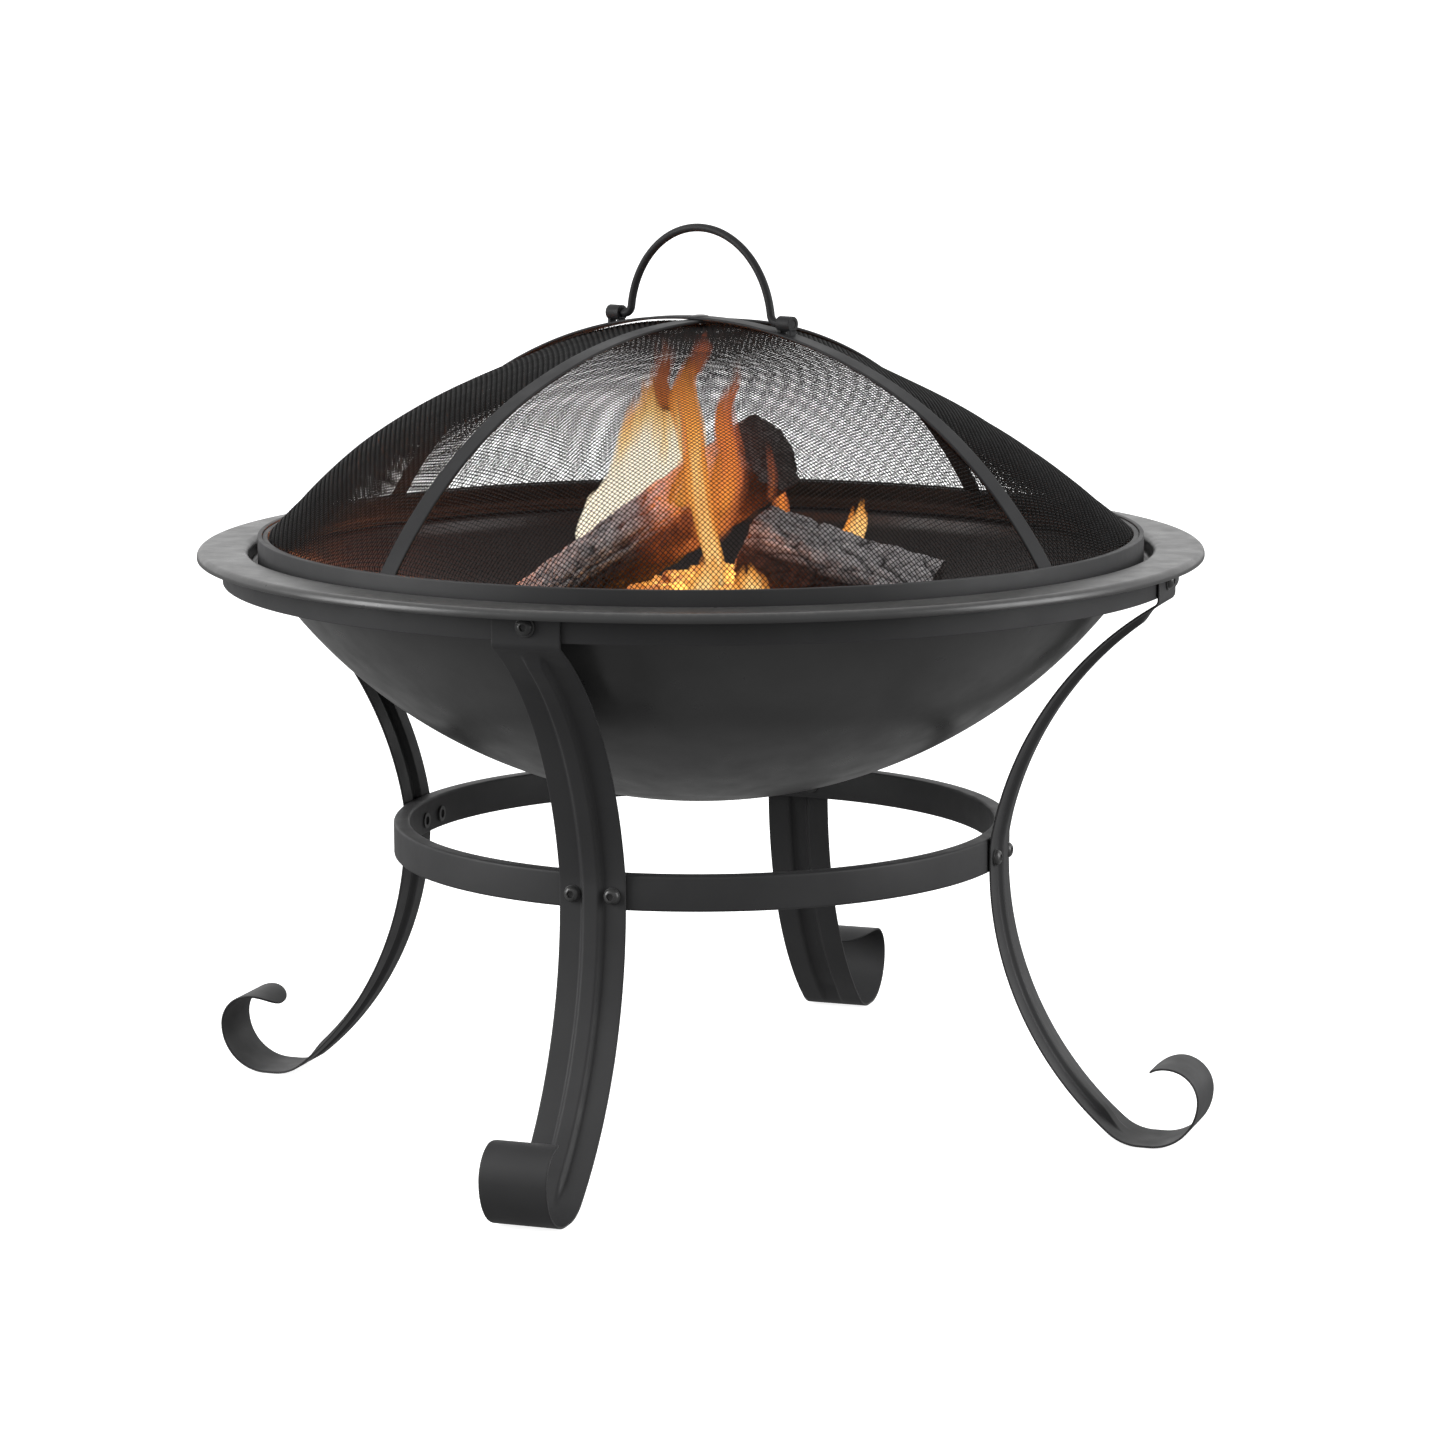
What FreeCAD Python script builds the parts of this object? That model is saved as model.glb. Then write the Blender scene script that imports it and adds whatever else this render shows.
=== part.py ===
"""Steel fire pit: a pressed bowl on a four-legged stand, a log grate and firewood inside it,
and a lift-off spark guard of woven mesh with a swinging bail handle.

Origin on the floor under the bowl's axis, +Z up, millimetres. The front of the pit faces -Y.
"""
import FreeCAD, Part
import math
import os
import Sketcher

Vector = FreeCAD.Vector
Z_AXIS = Vector(0, 0, 1)

# alias: value. Lengths in mm, angles in degrees.
SIZES = {
    # legs
    "leg_turn": -109.4,         # the first leg's direction, from +X about Z
    "leg_width": 37.5,
    "leg_sheet": 1.2,
    "rib_width": 13.0,
    "rib_height": 3.2,
    "rib_chamfer": 2.6,
    "rib_hollow": 6.0,
    "tab_top": 320.0,
    "tab_drop": 0.6,
    "tab_bend": 4.0,
    "shank_low_radius": 40.0,
    "shank_low_angle": 10.0,
    "shank_low_z": 160.2,
    "shank_straight": 8.4,
    "shank_foot_radius": 188.0,
    "scroll_radius": 26.8,
    "scroll_tip_radius": 17.4,
    "scroll_tip_angle": 140.0,
    "foot_flat": 6.0,
    # upper ring, under the bowl's flange
    "band_radius": 266.0,
    "band_sheet": 2.0,
    "band_bottom": 303.8,
    "band_height": 17.0,
    # lower ring, a rolled rectangular tube
    "ring_radius": 173.5,
    "ring_depth": 9.0,
    "ring_height": 19.2,
    "ring_bottom": 147.5,
    "ring_wall": 1.2,
    # fasteners
    "bolt_size": 5.0,
    "bolt_hole": 5.5,
    "head_width": 8.8,
    "head_height": 2.8,
    "socket_width": 3.4,
    "socket_depth": 1.8,
    "washer_width": 10.6,
    "washer_sheet": 1.0,
    "ring_bolt_z": 155.5,
    "ring_bolt_half": 11.2,
    "ring_washer_width": 9.2,
    "ring_bolt_length": 15.0,
    "rivet_nut_body": 7.0,
    "rivet_nut_flange": 9.0,
    "rivet_nut_seat": 163.7,
    "rivet_nut_lip": 0.8,
    "rivet_nut_length": 7.0,
    "rim_bolt_z": 311.8,
    "rim_bolt_length": 10.0,
    "nut_width": 8.0,
    "nut_height": 4.0,
    # bowl
    "bowl_sheet": 1.2,
    "bowl_radius": 291.4,
    "bowl_bottom": 180.2,
    "dish_angle": 54.0,
    "wall_angle": 74.0,
    "wall_bend": 18.0,
    "ledge_bend": 3.0,
    "ledge_top": 312.0,
    "recess_radius": 251.0,
    "flange_top": 322.0,
    "flange_bend": 4.0,
    "flange_radius": 280.0,
    "lip_bend": 3.0,
    "lip_bottom": 317.6,
    # spark guard
    "hoop_radius": 246.4,
    "hoop_bar": 2.6,
    "hoop_bottom": 312.4,
    "hoop_height": 17.0,
    "inner_radius": 243.8,
    "inner_bar": 3.2,
    "inner_bottom": 315.6,
    "inner_height": 13.0,
    "strap_turn": -42.1,        # the long strap's direction, from +X about Z
    "strap_width": 11.5,
    "strap_bar": 1.6,
    "strap_gap": 0.1,           # between the two straps where they cross
    "crown_top": 447.8,
    "crown_angle": 24.6,
    "shoulder_ratio": 0.797,
    "mesh_sheet": 0.8,
    "mesh_gap": 0.7,
    "mesh_skirt": 11.0,
    "mesh_bend": 6.0,
    "crown_rivet": 5.0,
    "rivet_head": 10.0,
    "rivet_dome": 1.2,
    # handle
    "pivot_z": 446.8,
    "bail_rod": 4.5,
    "bail_radius": 52.4,
    "bail_centre_z": 444.3,
    "bail_bend": 5.0,
    "bail_end": 67.8,
    "eye_outer": 8.6,
    "eye_bore": 4.66,
    "eye_length": 9.4,
    "eye_start": 58.8,
    "eye_post": 2.4,
    "eye_post_width": 5.0,
    # grate
    "grate_radius": 150.0,
    "grate_rod": 8.0,
    "grate_z": 237.0,
    "bar_rod": 6.0,
    "bar_pitch": 34.0,
    "grate_foot_bottom": 225.7,
    # firewood
    "bed_radius": 115.0,
    "bed_height": 60.0,
}
BARS_EACH_SIDE = 4
LEG_NAMES = ["front_left_leg", "front_right_leg", "rear_right_leg", "rear_left_leg"]
MESH_NAMES = ["right_mesh_panel", "rear_mesh_panel", "left_mesh_panel", "front_mesh_panel"]

doc = FreeCAD.newDocument("fire_pit")
sheet = doc.addObject("Spreadsheet::Sheet", "sizes")
for row, (alias, value) in enumerate(SIZES.items(), start=1):
    sheet.set(f"A{row}", alias)
    sheet.set(f"B{row}", str(value))
    sheet.setAlias(f"B{row}", alias)
doc.recompute()

parts = []      # every sub-part that is written, in order


def size(alias):
    """A driving dimension, read from the sheet."""
    return float(getattr(sheet, alias))


def keep(item, label):
    """Name a finished sub-part and put it on the list to write."""
    item.Label = label
    parts.append(item)
    return item


# ---------------------------------------------------------------- bent lines
def bent_line(start, heading, moves):
    """A smooth planar line. Each move is ("go", length) or ("bend", radius, angle), left turns positive.

    Its pieces are ("line", point, heading, length) and ("arc", centre, radius, angle, sweep), where the
    angle is that of the arc's start, seen from its centre.
    """
    point = Vector(start[0], start[1], 0)
    heading = math.radians(heading)
    pieces = []
    for move in moves:
        if move[0] == "go":
            pieces.append(("line", point, heading, move[1]))
            point = point + Vector(math.cos(heading), math.sin(heading), 0) * move[1]
        else:
            radius, sweep = move[1], math.radians(move[2])
            side = math.copysign(1, sweep)
            centre = point + Vector(-math.sin(heading), math.cos(heading), 0) * (radius * side)
            pieces.append(("arc", centre, radius, heading - side * math.pi / 2, sweep))
            heading += sweep
            point = centre + polar(radius, heading - side * math.pi / 2)
    return pieces


def polar(radius, angle):
    return Vector(math.cos(angle), math.sin(angle), 0) * radius


def line_length(pieces):
    return sum(p[3] if p[0] == "line" else p[2] * abs(p[4]) for p in pieces)


def cut_line(pieces, first, last):
    """The stretch of a bent line between two distances along it."""
    done, kept = 0.0, []
    for piece in pieces:
        length = line_length([piece])
        low, high = max(first - done, 0.0), min(last - done, length)
        done += length
        if high - low < 1e-6:
            continue
        if piece[0] == "line":
            kept.append(("line", piece[1] + polar(low, piece[2]), piece[2], high - low))
        else:
            turn = piece[4] / length
            kept.append(("arc", piece[1], piece[2], piece[3] + turn * low, turn * (high - low)))
    return kept


def side_line(pieces, offset):
    """Edges parallel to a bent line, offset to its left."""
    edges = []
    for piece in pieces:
        if piece[0] == "line":
            _, point, heading, length = piece
            start = point + polar(offset, heading + math.pi / 2)
            edges.append(Part.LineSegment(start, start + polar(length, heading)))
        else:
            _, centre, radius, angle, sweep = piece
            radius -= offset * math.copysign(1, sweep)
            turns = (angle, angle + sweep / 2, angle + sweep)
            edges.append(Part.Arc(*[centre + polar(radius, turn) for turn in turns]))
    return edges


def thick_line(pieces, left, right, taper=0.0):
    """The closed outline between two offsets of a bent line; taper draws the left side in at both ends."""
    near = [edge.toShape() for edge in side_line(pieces, right)]
    far_pieces = cut_line(pieces, taper, line_length(pieces) - taper)
    far = [edge.toShape() for edge in side_line(far_pieces, left)]
    outline = near + [Part.makeLine(near[-1].Vertexes[-1].Point, far[-1].Vertexes[-1].Point)]
    outline += far[::-1]
    outline.append(Part.makeLine(far[0].Vertexes[0].Point, near[0].Vertexes[0].Point))
    return outline


# ---------------------------------------------------------------- sketches and features
def new_body(label):
    body = doc.addObject("PartDesign::Body", label)
    body.AllowCompound = True
    return keep(body, label)


def plane_of(body, role):
    return next(item for item in body.Origin.OriginFeatures if item.Role == role)


def new_sketch(body, name, role, offset=None):
    """A sketch on one of the body's own planes; offset moves it along the plane's normal."""
    sketch = body.newObject("Sketcher::SketchObject", name)
    sketch.AttachmentSupport = [(plane_of(body, role), "")]
    sketch.MapMode = "FlatFace"
    if offset is not None:
        sketch.setExpression("AttachmentOffset.Base.z", offset)
    return sketch


def draw_outline(sketch, shapes):
    """Draw a chain of edges, each joined to the next one drawn."""
    first = sketch.GeometryCount
    for shape in shapes:
        geometry = shape.Curve
        start, end = shape.Vertexes[0].Point, shape.Vertexes[-1].Point
        if isinstance(geometry, Part.Circle):
            middle = shape.valueAt((shape.FirstParameter + shape.LastParameter) / 2)
            arc = Part.Arc(start, middle, end)
            sketch.addGeometry(arc, False)
        else:
            sketch.addGeometry(Part.LineSegment(start, end), False)
    corners = []
    for index in range(first, sketch.GeometryCount):
        for spot in (1, 2):
            corners.append((index, spot, sketch.getPoint(index, spot)))
    for place, (index, spot, point) in enumerate(corners):
        for other, other_spot, other_point in corners[place + 1:]:
            if other != index and point.distanceToPoint(other_point) < 1e-5:
                sketch.addConstraint(Sketcher.Constraint("Coincident", index, spot, other, other_spot))


def draw_bar_section(sketch, outer, depth, bottom, height):
    """A rectangle for a bar rolled into a ring, held by four named sizes."""
    right, low = size(outer), size(bottom)
    left, high = right - size(depth), low + size(height)
    first = sketch.GeometryCount
    corners = [Vector(left, low, 0), Vector(right, low, 0), Vector(right, high, 0), Vector(left, high, 0)]
    for index in range(4):
        sketch.addGeometry(Part.LineSegment(corners[index], corners[(index + 1) % 4]), False)
    for index in range(4):
        join = Sketcher.Constraint("Coincident", first + index, 2, first + (index + 1) % 4, 1)
        sketch.addConstraint(join)
        level = "Horizontal" if index % 2 == 0 else "Vertical"
        sketch.addConstraint(Sketcher.Constraint(level, first + index))
    for kind, start, end, alias in (
        ("DistanceX", (-1, 1), (first, 2), outer),
        ("DistanceX", (first, 1), (first, 2), depth),
        ("DistanceY", (-1, 1), (first, 2), bottom),
        ("DistanceY", (first + 1, 1), (first + 1, 2), height),
    ):
        number = sketch.addConstraint(Sketcher.Constraint(kind, *start, *end, size(alias)))
        sketch.setExpression(f"Constraints[{number}]", f"sizes.{alias}")


def draw_circle(sketch, across, up, diameter):
    """A circle held by a named diameter, at two measured or named distances from the origin."""
    number = sketch.addGeometry(Part.Circle(Vector(across[0], up[0], 0), Z_AXIS, size(diameter) / 2), False)
    width = sketch.addConstraint(Sketcher.Constraint("Diameter", number, size(diameter)))
    sketch.setExpression(f"Constraints[{width}]", f"sizes.{diameter}")
    for kind, (distance, expression) in (("DistanceX", across), ("DistanceY", up)):
        if expression is None:
            continue
        place = sketch.addConstraint(Sketcher.Constraint(kind, -1, 1, number, 3, distance))
        sketch.setExpression(f"Constraints[{place}]", expression)


def draw_hexagon(sketch, up, width):
    corners = [Vector(0, up, 0) + polar(width / math.sqrt(3), math.radians(60 * n + 30)) for n in range(7)]
    draw_outline(sketch, [Part.makeLine(corners[n], corners[n + 1]) for n in range(6)])


def add_feature(body, kind, profile, **settings):
    """A feature made from a sketch; a setting that is text and starts with = is an expression."""
    feature = body.newObject(f"PartDesign::{kind}", kind)
    feature.Profile = profile
    for name, setting in settings.items():
        if isinstance(setting, str) and setting.startswith("="):
            feature.setExpression(name, setting[1:])
        else:
            setattr(feature, name, setting)
    return feature


def turn_body(body, expression):
    """Turn a body about Z by an angle from the sheet."""
    body.Placement = FreeCAD.Placement(Vector(), FreeCAD.Rotation(Z_AXIS, 1.0))
    body.setExpression("Placement.Rotation.Angle", expression)


def around(body, features, count=4, mirror=False):
    """Repeat features evenly round Z, after a mirror in the XZ plane where one is asked for."""
    doc.recompute()
    steps = body.newObject("PartDesign::MultiTransform", "Around")
    steps.Originals = features
    transformations = []
    if mirror:
        flip = body.newObject("PartDesign::Mirrored", "Flip")
        flip.MirrorPlane = (plane_of(body, "XZ_Plane"), [""])
        transformations.append(flip)
    ring = body.newObject("PartDesign::PolarPattern", "Ring")
    ring.Axis = (plane_of(body, "Z_Axis"), [""])
    ring.Angle = 360.0
    ring.Occurrences = count
    transformations.append(ring)
    steps.Transformations = transformations
    body.Tip = steps
    return steps


# ---------------------------------------------------------------- stand
def shank_angles():
    """The upper leg's large bend: its radius and the angle at which it meets the tab."""
    low_radius, low_angle = size("shank_low_radius"), math.radians(size("shank_low_angle"))
    bend = size("tab_bend")
    run = size("band_radius") - size("ring_radius")
    rise = size("band_bottom") - size("tab_drop") - size("shank_low_z")
    across = bend + low_radius * (1 - math.cos(low_angle)) - run
    upward = rise - low_radius * math.sin(low_angle)
    spread = across * math.cos(low_angle) + upward * math.sin(low_angle)
    radius = (across ** 2 + upward ** 2 - bend ** 2) / (2 * (bend - spread))
    cosine = (across + radius * math.cos(low_angle)) / (bend + radius)
    return radius, math.degrees(math.acos(cosine))


def leg_line():
    """The leg's mid line in its own upright plane, from the top of its tab to the tip of its scroll."""
    radius, meet = shank_angles()
    low = size("shank_low_angle")
    half = size("leg_sheet") / 2
    tab = size("tab_top") - (size("band_bottom") - size("tab_drop"))
    scroll = size("scroll_radius")
    foot = size("shank_foot_radius")
    straight = size("shank_straight")
    turn = math.degrees(math.asin((size("shank_low_z") - straight - half - scroll) / (foot - scroll)))
    return bent_line((size("band_radius") + half, size("tab_top")), -90, [
        ("go", tab),
        ("bend", size("tab_bend"), -meet),
        ("bend", radius, meet - low),
        ("bend", size("shank_low_radius"), low),
        ("go", straight),
        ("bend", foot, turn),
        ("bend", scroll, 90 - turn),
        ("go", size("foot_flat")),
        ("bend", scroll, 90),
        ("bend", size("scroll_tip_radius"), size("scroll_tip_angle")),
    ])


def make_leg(label, number):
    """A leg pressed from strip: flat tab, ribbed shank and a scroll whose end is rounded."""
    body = new_body(label)
    line = leg_line()
    half = size("leg_sheet") / 2
    shank_end = line_length(line[:6])
    strip = new_sketch(body, "Strip", "XZ_Plane")
    draw_outline(strip, thick_line(line, half, -half))
    pad = add_feature(body, "Pad", strip, SideType="Symmetric", Length="=sizes.leg_width")
    doc.recompute()
    round_tip(body, line)
    rib_line = cut_line(line, line_length(line[:2]) + 6, shank_end + 6)
    rib = new_sketch(body, "Rib", "XZ_Plane")
    draw_outline(rib, thick_line(rib_line, half + size("rib_height"), half - 0.3, taper=9.0))
    ridge = add_feature(body, "Pad", rib, SideType="Symmetric", Length="=sizes.rib_width")
    doc.recompute()
    crest = body.newObject("PartDesign::Chamfer", "Crest")
    crest.Base = (ridge, crest_edges(ridge, rib_line))
    crest.setExpression("Size", "sizes.rib_chamfer")
    hollow = new_sketch(body, "Hollow", "XZ_Plane")
    inside = thick_line(cut_line(rib_line, 4, line_length(rib_line) - 4), size("rib_height") - half,
                        -half - 0.5, taper=9.0)
    draw_outline(hollow, inside)
    add_feature(body, "Pocket", hollow, SideType="Symmetric", Length="=sizes.rib_hollow")
    holes = new_sketch(body, "Bolt_holes", "YZ_Plane")
    for side in (-1, 1):
        draw_circle(holes, (side * size("ring_bolt_half"), None), (size("ring_bolt_z"), "sizes.ring_bolt_z"),
                    "bolt_hole")
    low_holes = add_feature(body, "Pocket", holes, Type=0, Reversed=True, Length="=sizes.ring_radius + 10")
    top_hole = new_sketch(body, "Rim_hole", "YZ_Plane")
    draw_circle(top_hole, (0.0, None), (size("rim_bolt_z"), "sizes.rim_bolt_z"), "bolt_hole")
    add_feature(body, "Pocket", top_hole, Type=0, Reversed=True, Length="=sizes.band_radius + 10")
    turn_body(body, f"sizes.leg_turn + {90 * number}")
    return low_holes


def round_tip(body, line):
    """Cut the strip's end to a half circle, square to the sheet halfway along the rounding."""
    reach, curl = size("leg_width") / 2, size("scroll_tip_radius")
    total = line_length(line)
    _, centre, radius, angle, sweep = cut_line(line, total - reach, total)[0]
    middle = centre + polar(radius, angle + sweep / 2)
    heading = math.degrees(angle + sweep / 2) + 90
    half_chord = curl * math.sin(reach / (2 * curl))
    sketch = new_sketch(body, "Tip", "XY_Plane")
    sketch.AttachmentOffset = FreeCAD.Placement(
        Vector(middle.x, 0, middle.y), FreeCAD.Rotation(Vector(0, 1, 0), -heading))
    low, high = Vector(-half_chord, -reach, 0), Vector(-half_chord, reach, 0)
    beyond = [high, Vector(-half_chord, reach + 8, 0), Vector(half_chord + 8, reach + 8, 0),
              Vector(half_chord + 8, -reach - 8, 0), Vector(-half_chord, -reach - 8, 0), low]
    outline = [Part.Arc(low, Vector(half_chord, 0, 0), high).toShape()]
    outline += [Part.makeLine(beyond[n], beyond[n + 1]) for n in range(5)]
    draw_outline(sketch, outline)
    add_feature(body, "Pocket", sketch, SideType="Symmetric", Length=9.0)


def crest_edges(ridge, line):
    """Names of the long edges along both sides of the rib's crest."""
    height = size("leg_sheet") / 2 + size("rib_height")
    crest = Part.Wire([edge.toShape() for edge in side_line(line, height)])
    names = []
    for number, edge in enumerate(ridge.Shape.Edges, start=1):
        middle = edge.valueAt((edge.FirstParameter + edge.LastParameter) / 2)
        if abs(abs(middle.y) - size("rib_width") / 2) > 0.01 or edge.Length < 4:
            continue
        if crest.distToShape(Part.Vertex(middle.x, middle.z, 0))[0] < 0.02:
            names.append(f"Edge{number}")
    return names


def make_upper_ring():
    body = new_body("upper_ring")
    section = new_sketch(body, "Section", "XZ_Plane")
    draw_bar_section(section, "band_radius", "band_sheet", "band_bottom", "band_height")
    add_feature(body, "Revolution", section, ReferenceAxis=(section, ["V_Axis"]), Angle=360.0)
    hole = new_sketch(body, "Hole", "YZ_Plane")
    draw_circle(hole, (0.0, None), (size("rim_bolt_z"), "sizes.rim_bolt_z"), "bolt_hole")
    cut = add_feature(body, "Pocket", hole, Reversed=True, Length="=sizes.band_radius + 10")
    around(body, [cut])
    turn_body(body, "sizes.leg_turn")


def make_lower_ring():
    """A rectangular tube rolled into a ring and drilled through both walls for each leg's two bolts."""
    body = new_body("lower_ring")
    section = new_sketch(body, "Section", "XZ_Plane")
    draw_bar_section(section, "ring_radius", "ring_depth", "ring_bottom", "ring_height")
    wall = size("ring_wall")
    left, right = size("ring_radius") - size("ring_depth") + wall, size("ring_radius") - wall
    low, high = size("ring_bottom") + wall, size("ring_bottom") + size("ring_height") - wall
    corners = [Vector(left, low, 0), Vector(right, low, 0), Vector(right, high, 0), Vector(left, high, 0)]
    draw_outline(section, [Part.makeLine(corners[n], corners[(n + 1) % 4]) for n in range(4)])
    add_feature(body, "Revolution", section, ReferenceAxis=(section, ["V_Axis"]), Angle=360.0)
    outer = new_sketch(body, "Outer_hole", "YZ_Plane")
    place = (size("ring_bolt_half"), "sizes.ring_bolt_half")
    height = (size("ring_bolt_z"), "sizes.ring_bolt_z")
    draw_circle(outer, place, height, "bolt_hole")
    through = add_feature(body, "Pocket", outer, Reversed=True, Length="=sizes.ring_radius + 10")
    inner = new_sketch(body, "Inner_hole", "YZ_Plane")
    draw_circle(inner, place, height, "rivet_nut_body")
    seat = add_feature(body, "Pocket", inner, Reversed=True, Length="=sizes.ring_radius - 4")
    around(body, [through, seat], mirror=True)
    turn_body(body, "sizes.leg_turn")


def make_turned(label, outline_points, height, across=None):
    """Parts turned about a line along X at a given height, repeated at every leg.

    The outline is half a section, as (distance along X, distance from the line) pairs. With across, each
    leg gets a pair of them, that far to either side.
    """
    body = new_body(label)
    section = new_sketch(body, "Section", "XZ_Plane", None if across is None else f"-sizes.{across}")
    axis = Part.LineSegment(Vector(0, size(height), 0), Vector(100, size(height), 0))
    section.addGeometry(axis, True)
    corners = [Vector(x, size(height) + y, 0) for x, y in outline_points]
    count = len(corners)
    draw_outline(section, [Part.makeLine(corners[n], corners[(n + 1) % count]) for n in range(count)])
    turned = add_feature(body, "Revolution", section, ReferenceAxis=(section, ["Axis0"]), Angle=360.0)
    return body, turned


def make_bolts(label, seat, length, height, across=None):
    """Button-head socket screws whose heads sit at a distance seat from the axis."""
    shank, head = size("bolt_size") / 2, size("head_width") / 2
    top = seat + size("head_height")
    body, turned = make_turned(label, [
        (seat - size(length), 0), (top, 0), (top, head * 0.55), (seat + 0.9, head), (seat, head),
        (seat, shank), (seat - size(length), shank),
    ], height, across)
    socket = new_sketch(body, "Socket", "YZ_Plane", f"{top}")
    across_by = 0 if across is None else size(across)
    corners = [Vector(across_by, size(height), 0) + polar(size("socket_width") / math.sqrt(3),
               math.radians(60 * n)) for n in range(7)]
    draw_outline(socket, [Part.makeLine(corners[n], corners[n + 1]) for n in range(6)])
    cut = add_feature(body, "Pocket", socket, Length="=sizes.socket_depth")
    around(body, [turned, cut], mirror=across is not None)
    turn_body(body, "sizes.leg_turn")


def make_collars(label, start, length, bore, outer, height, across=None, flange=None):
    """Washers and rivet nuts: plain collars on the bolts, with a flange at the start where one is given."""
    inner, rim = size(bore) / 2, size(outer) / 2
    outline = [(start, inner), (start + length, inner), (start + length, rim), (start, rim)]
    if flange is not None:
        lip, wide = flange
        outline = [(start, inner), (start + length, inner), (start + length, rim), (start + lip, rim),
                   (start + lip, wide / 2), (start, wide / 2)]
    body, turned = make_turned(label, outline, height, across)
    around(body, [turned], mirror=across is not None)
    turn_body(body, "sizes.leg_turn")


def make_rim_nuts():
    """Plain hexagon nuts behind the upper ring."""
    body = new_body("rim_nuts")
    seat = size("band_radius") - size("band_sheet") - 0.1
    section = new_sketch(body, "Section", "YZ_Plane", f"{seat} - sizes.nut_height")
    draw_hexagon(section, size("rim_bolt_z"), size("nut_width"))
    number = section.addGeometry(Part.Circle(Vector(0, size("rim_bolt_z"), 0), Z_AXIS, size("bolt_size") / 2),
                                 False)
    width = section.addConstraint(Sketcher.Constraint("Diameter", number, size("bolt_size")))
    section.setExpression(f"Constraints[{width}]", "sizes.bolt_size")
    pad = add_feature(body, "Pad", section, Length="=sizes.nut_height")
    around(body, [pad])
    turn_body(body, "sizes.leg_turn")


def make_stand():
    make_upper_ring()
    make_lower_ring()
    for number, label in enumerate(LEG_NAMES):
        make_leg(label, number)
    washer = size("washer_sheet")
    ring_face = size("ring_radius") + size("leg_sheet")
    rim_face = size("band_radius") + size("leg_sheet")
    make_collars("rim_washers", rim_face, washer, "bolt_size", "washer_width", "rim_bolt_z")
    make_bolts("rim_bolts", rim_face + washer, "rim_bolt_length", "rim_bolt_z")
    make_rim_nuts()
    make_collars("ring_washers", ring_face, washer, "bolt_size", "ring_washer_width", "ring_bolt_z",
                 "ring_bolt_half")
    make_bolts("ring_bolts", ring_face + washer, "ring_bolt_length", "ring_bolt_z", "ring_bolt_half")
    lip = size("rivet_nut_lip")
    make_collars("ring_rivet_nuts", size("rivet_nut_seat") - lip, size("rivet_nut_length"), "bolt_size",
                 "rivet_nut_body", "ring_bolt_z", "ring_bolt_half",
                 flange=(lip, size("rivet_nut_flange")))


# ---------------------------------------------------------------- bowl
def make_bowl():
    """A dish pressed from one sheet, with a ledge for the guard's hoop, a wide flange and a turned-down lip."""
    body = new_body("bowl")
    half = size("bowl_sheet") / 2
    dish, wall = math.radians(size("dish_angle")), math.radians(size("wall_angle"))
    ledge, flange, lip = size("ledge_bend"), size("flange_bend"), size("lip_bend")
    wall_bend = size("wall_bend")
    radius = size("bowl_radius")
    reach = radius * math.sin(dish) + wall_bend * (math.sin(wall) - math.sin(dish))
    level = size("bowl_bottom") + radius * (1 - math.cos(dish)) + wall_bend * (math.cos(dish) - math.cos(wall))
    ledge_z = size("ledge_top") - half
    rise = (ledge_z - level - ledge * (1 - math.cos(wall))) / math.sin(wall)
    ledge_start = reach + rise * math.cos(wall) + ledge * math.sin(wall)
    recess = size("recess_radius") + half
    flange_z = size("flange_top") - half
    line = bent_line((0, size("bowl_bottom")), 0, [
        ("bend", radius, size("dish_angle")),
        ("bend", wall_bend, size("wall_angle") - size("dish_angle")),
        ("go", rise),
        ("bend", ledge, -size("wall_angle")),
        ("go", recess - ledge - ledge_start),
        ("bend", ledge, 90),
        ("go", flange_z - flange - (ledge_z + ledge)),
        ("bend", flange, -90),
        ("go", size("flange_radius") - half - lip - (recess + flange)),
        ("bend", lip, -90),
        ("go", flange_z - lip - size("lip_bottom")),
    ])
    section = new_sketch(body, "Section", "XZ_Plane")
    draw_outline(section, thick_line(line, half, -half))
    add_feature(body, "Revolution", section, ReferenceAxis=(section, ["V_Axis"]), Angle=360.0)


# ---------------------------------------------------------------- spark guard
def crown_bends(run, rise, tail=0.0):
    """Crown radius, shoulder radius and end angle of a domed line that falls by rise over run.

    With a tail, the line goes on into a smaller bend of that radius, and run and rise are its centre's.
    """
    ratio, crown = size("shoulder_ratio"), math.radians(size("crown_angle"))
    across = (1 - ratio) * math.sin(crown)
    upright = 1 - (1 - ratio) * math.cos(crown)
    square = 2 * (1 - ratio) * (1 - math.cos(crown))
    linear = across * run + upright * rise - ratio * tail
    radius = (linear - math.sqrt(linear ** 2 - square * (run ** 2 + rise ** 2 - tail ** 2))) / square
    end = math.atan2(run - across * radius, upright * radius - rise)
    return radius, ratio * radius, math.degrees(end)


def strap_line(top):
    """A strap's mid line over the dome, running a little below the hoop at both ends."""
    run = size("inner_radius") - size("inner_bar") / 2
    foot = size("inner_bottom") + size("inner_height")
    radius, shoulder, end = crown_bends(run, top - foot)
    crown = size("crown_angle")
    below = 1.5
    centre_x = (radius - shoulder) * math.sin(math.radians(crown))
    centre_z = top - radius + (radius - shoulder) * math.cos(math.radians(crown))
    last = math.radians(end + below)
    start = (-(centre_x + shoulder * math.sin(last)), centre_z + shoulder * math.cos(last))
    return bent_line(start, end + below, [
        ("bend", shoulder, -(end + below - crown)),
        ("bend", radius, -2 * crown),
        ("bend", shoulder, -(end + below - crown)),
    ])


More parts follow.
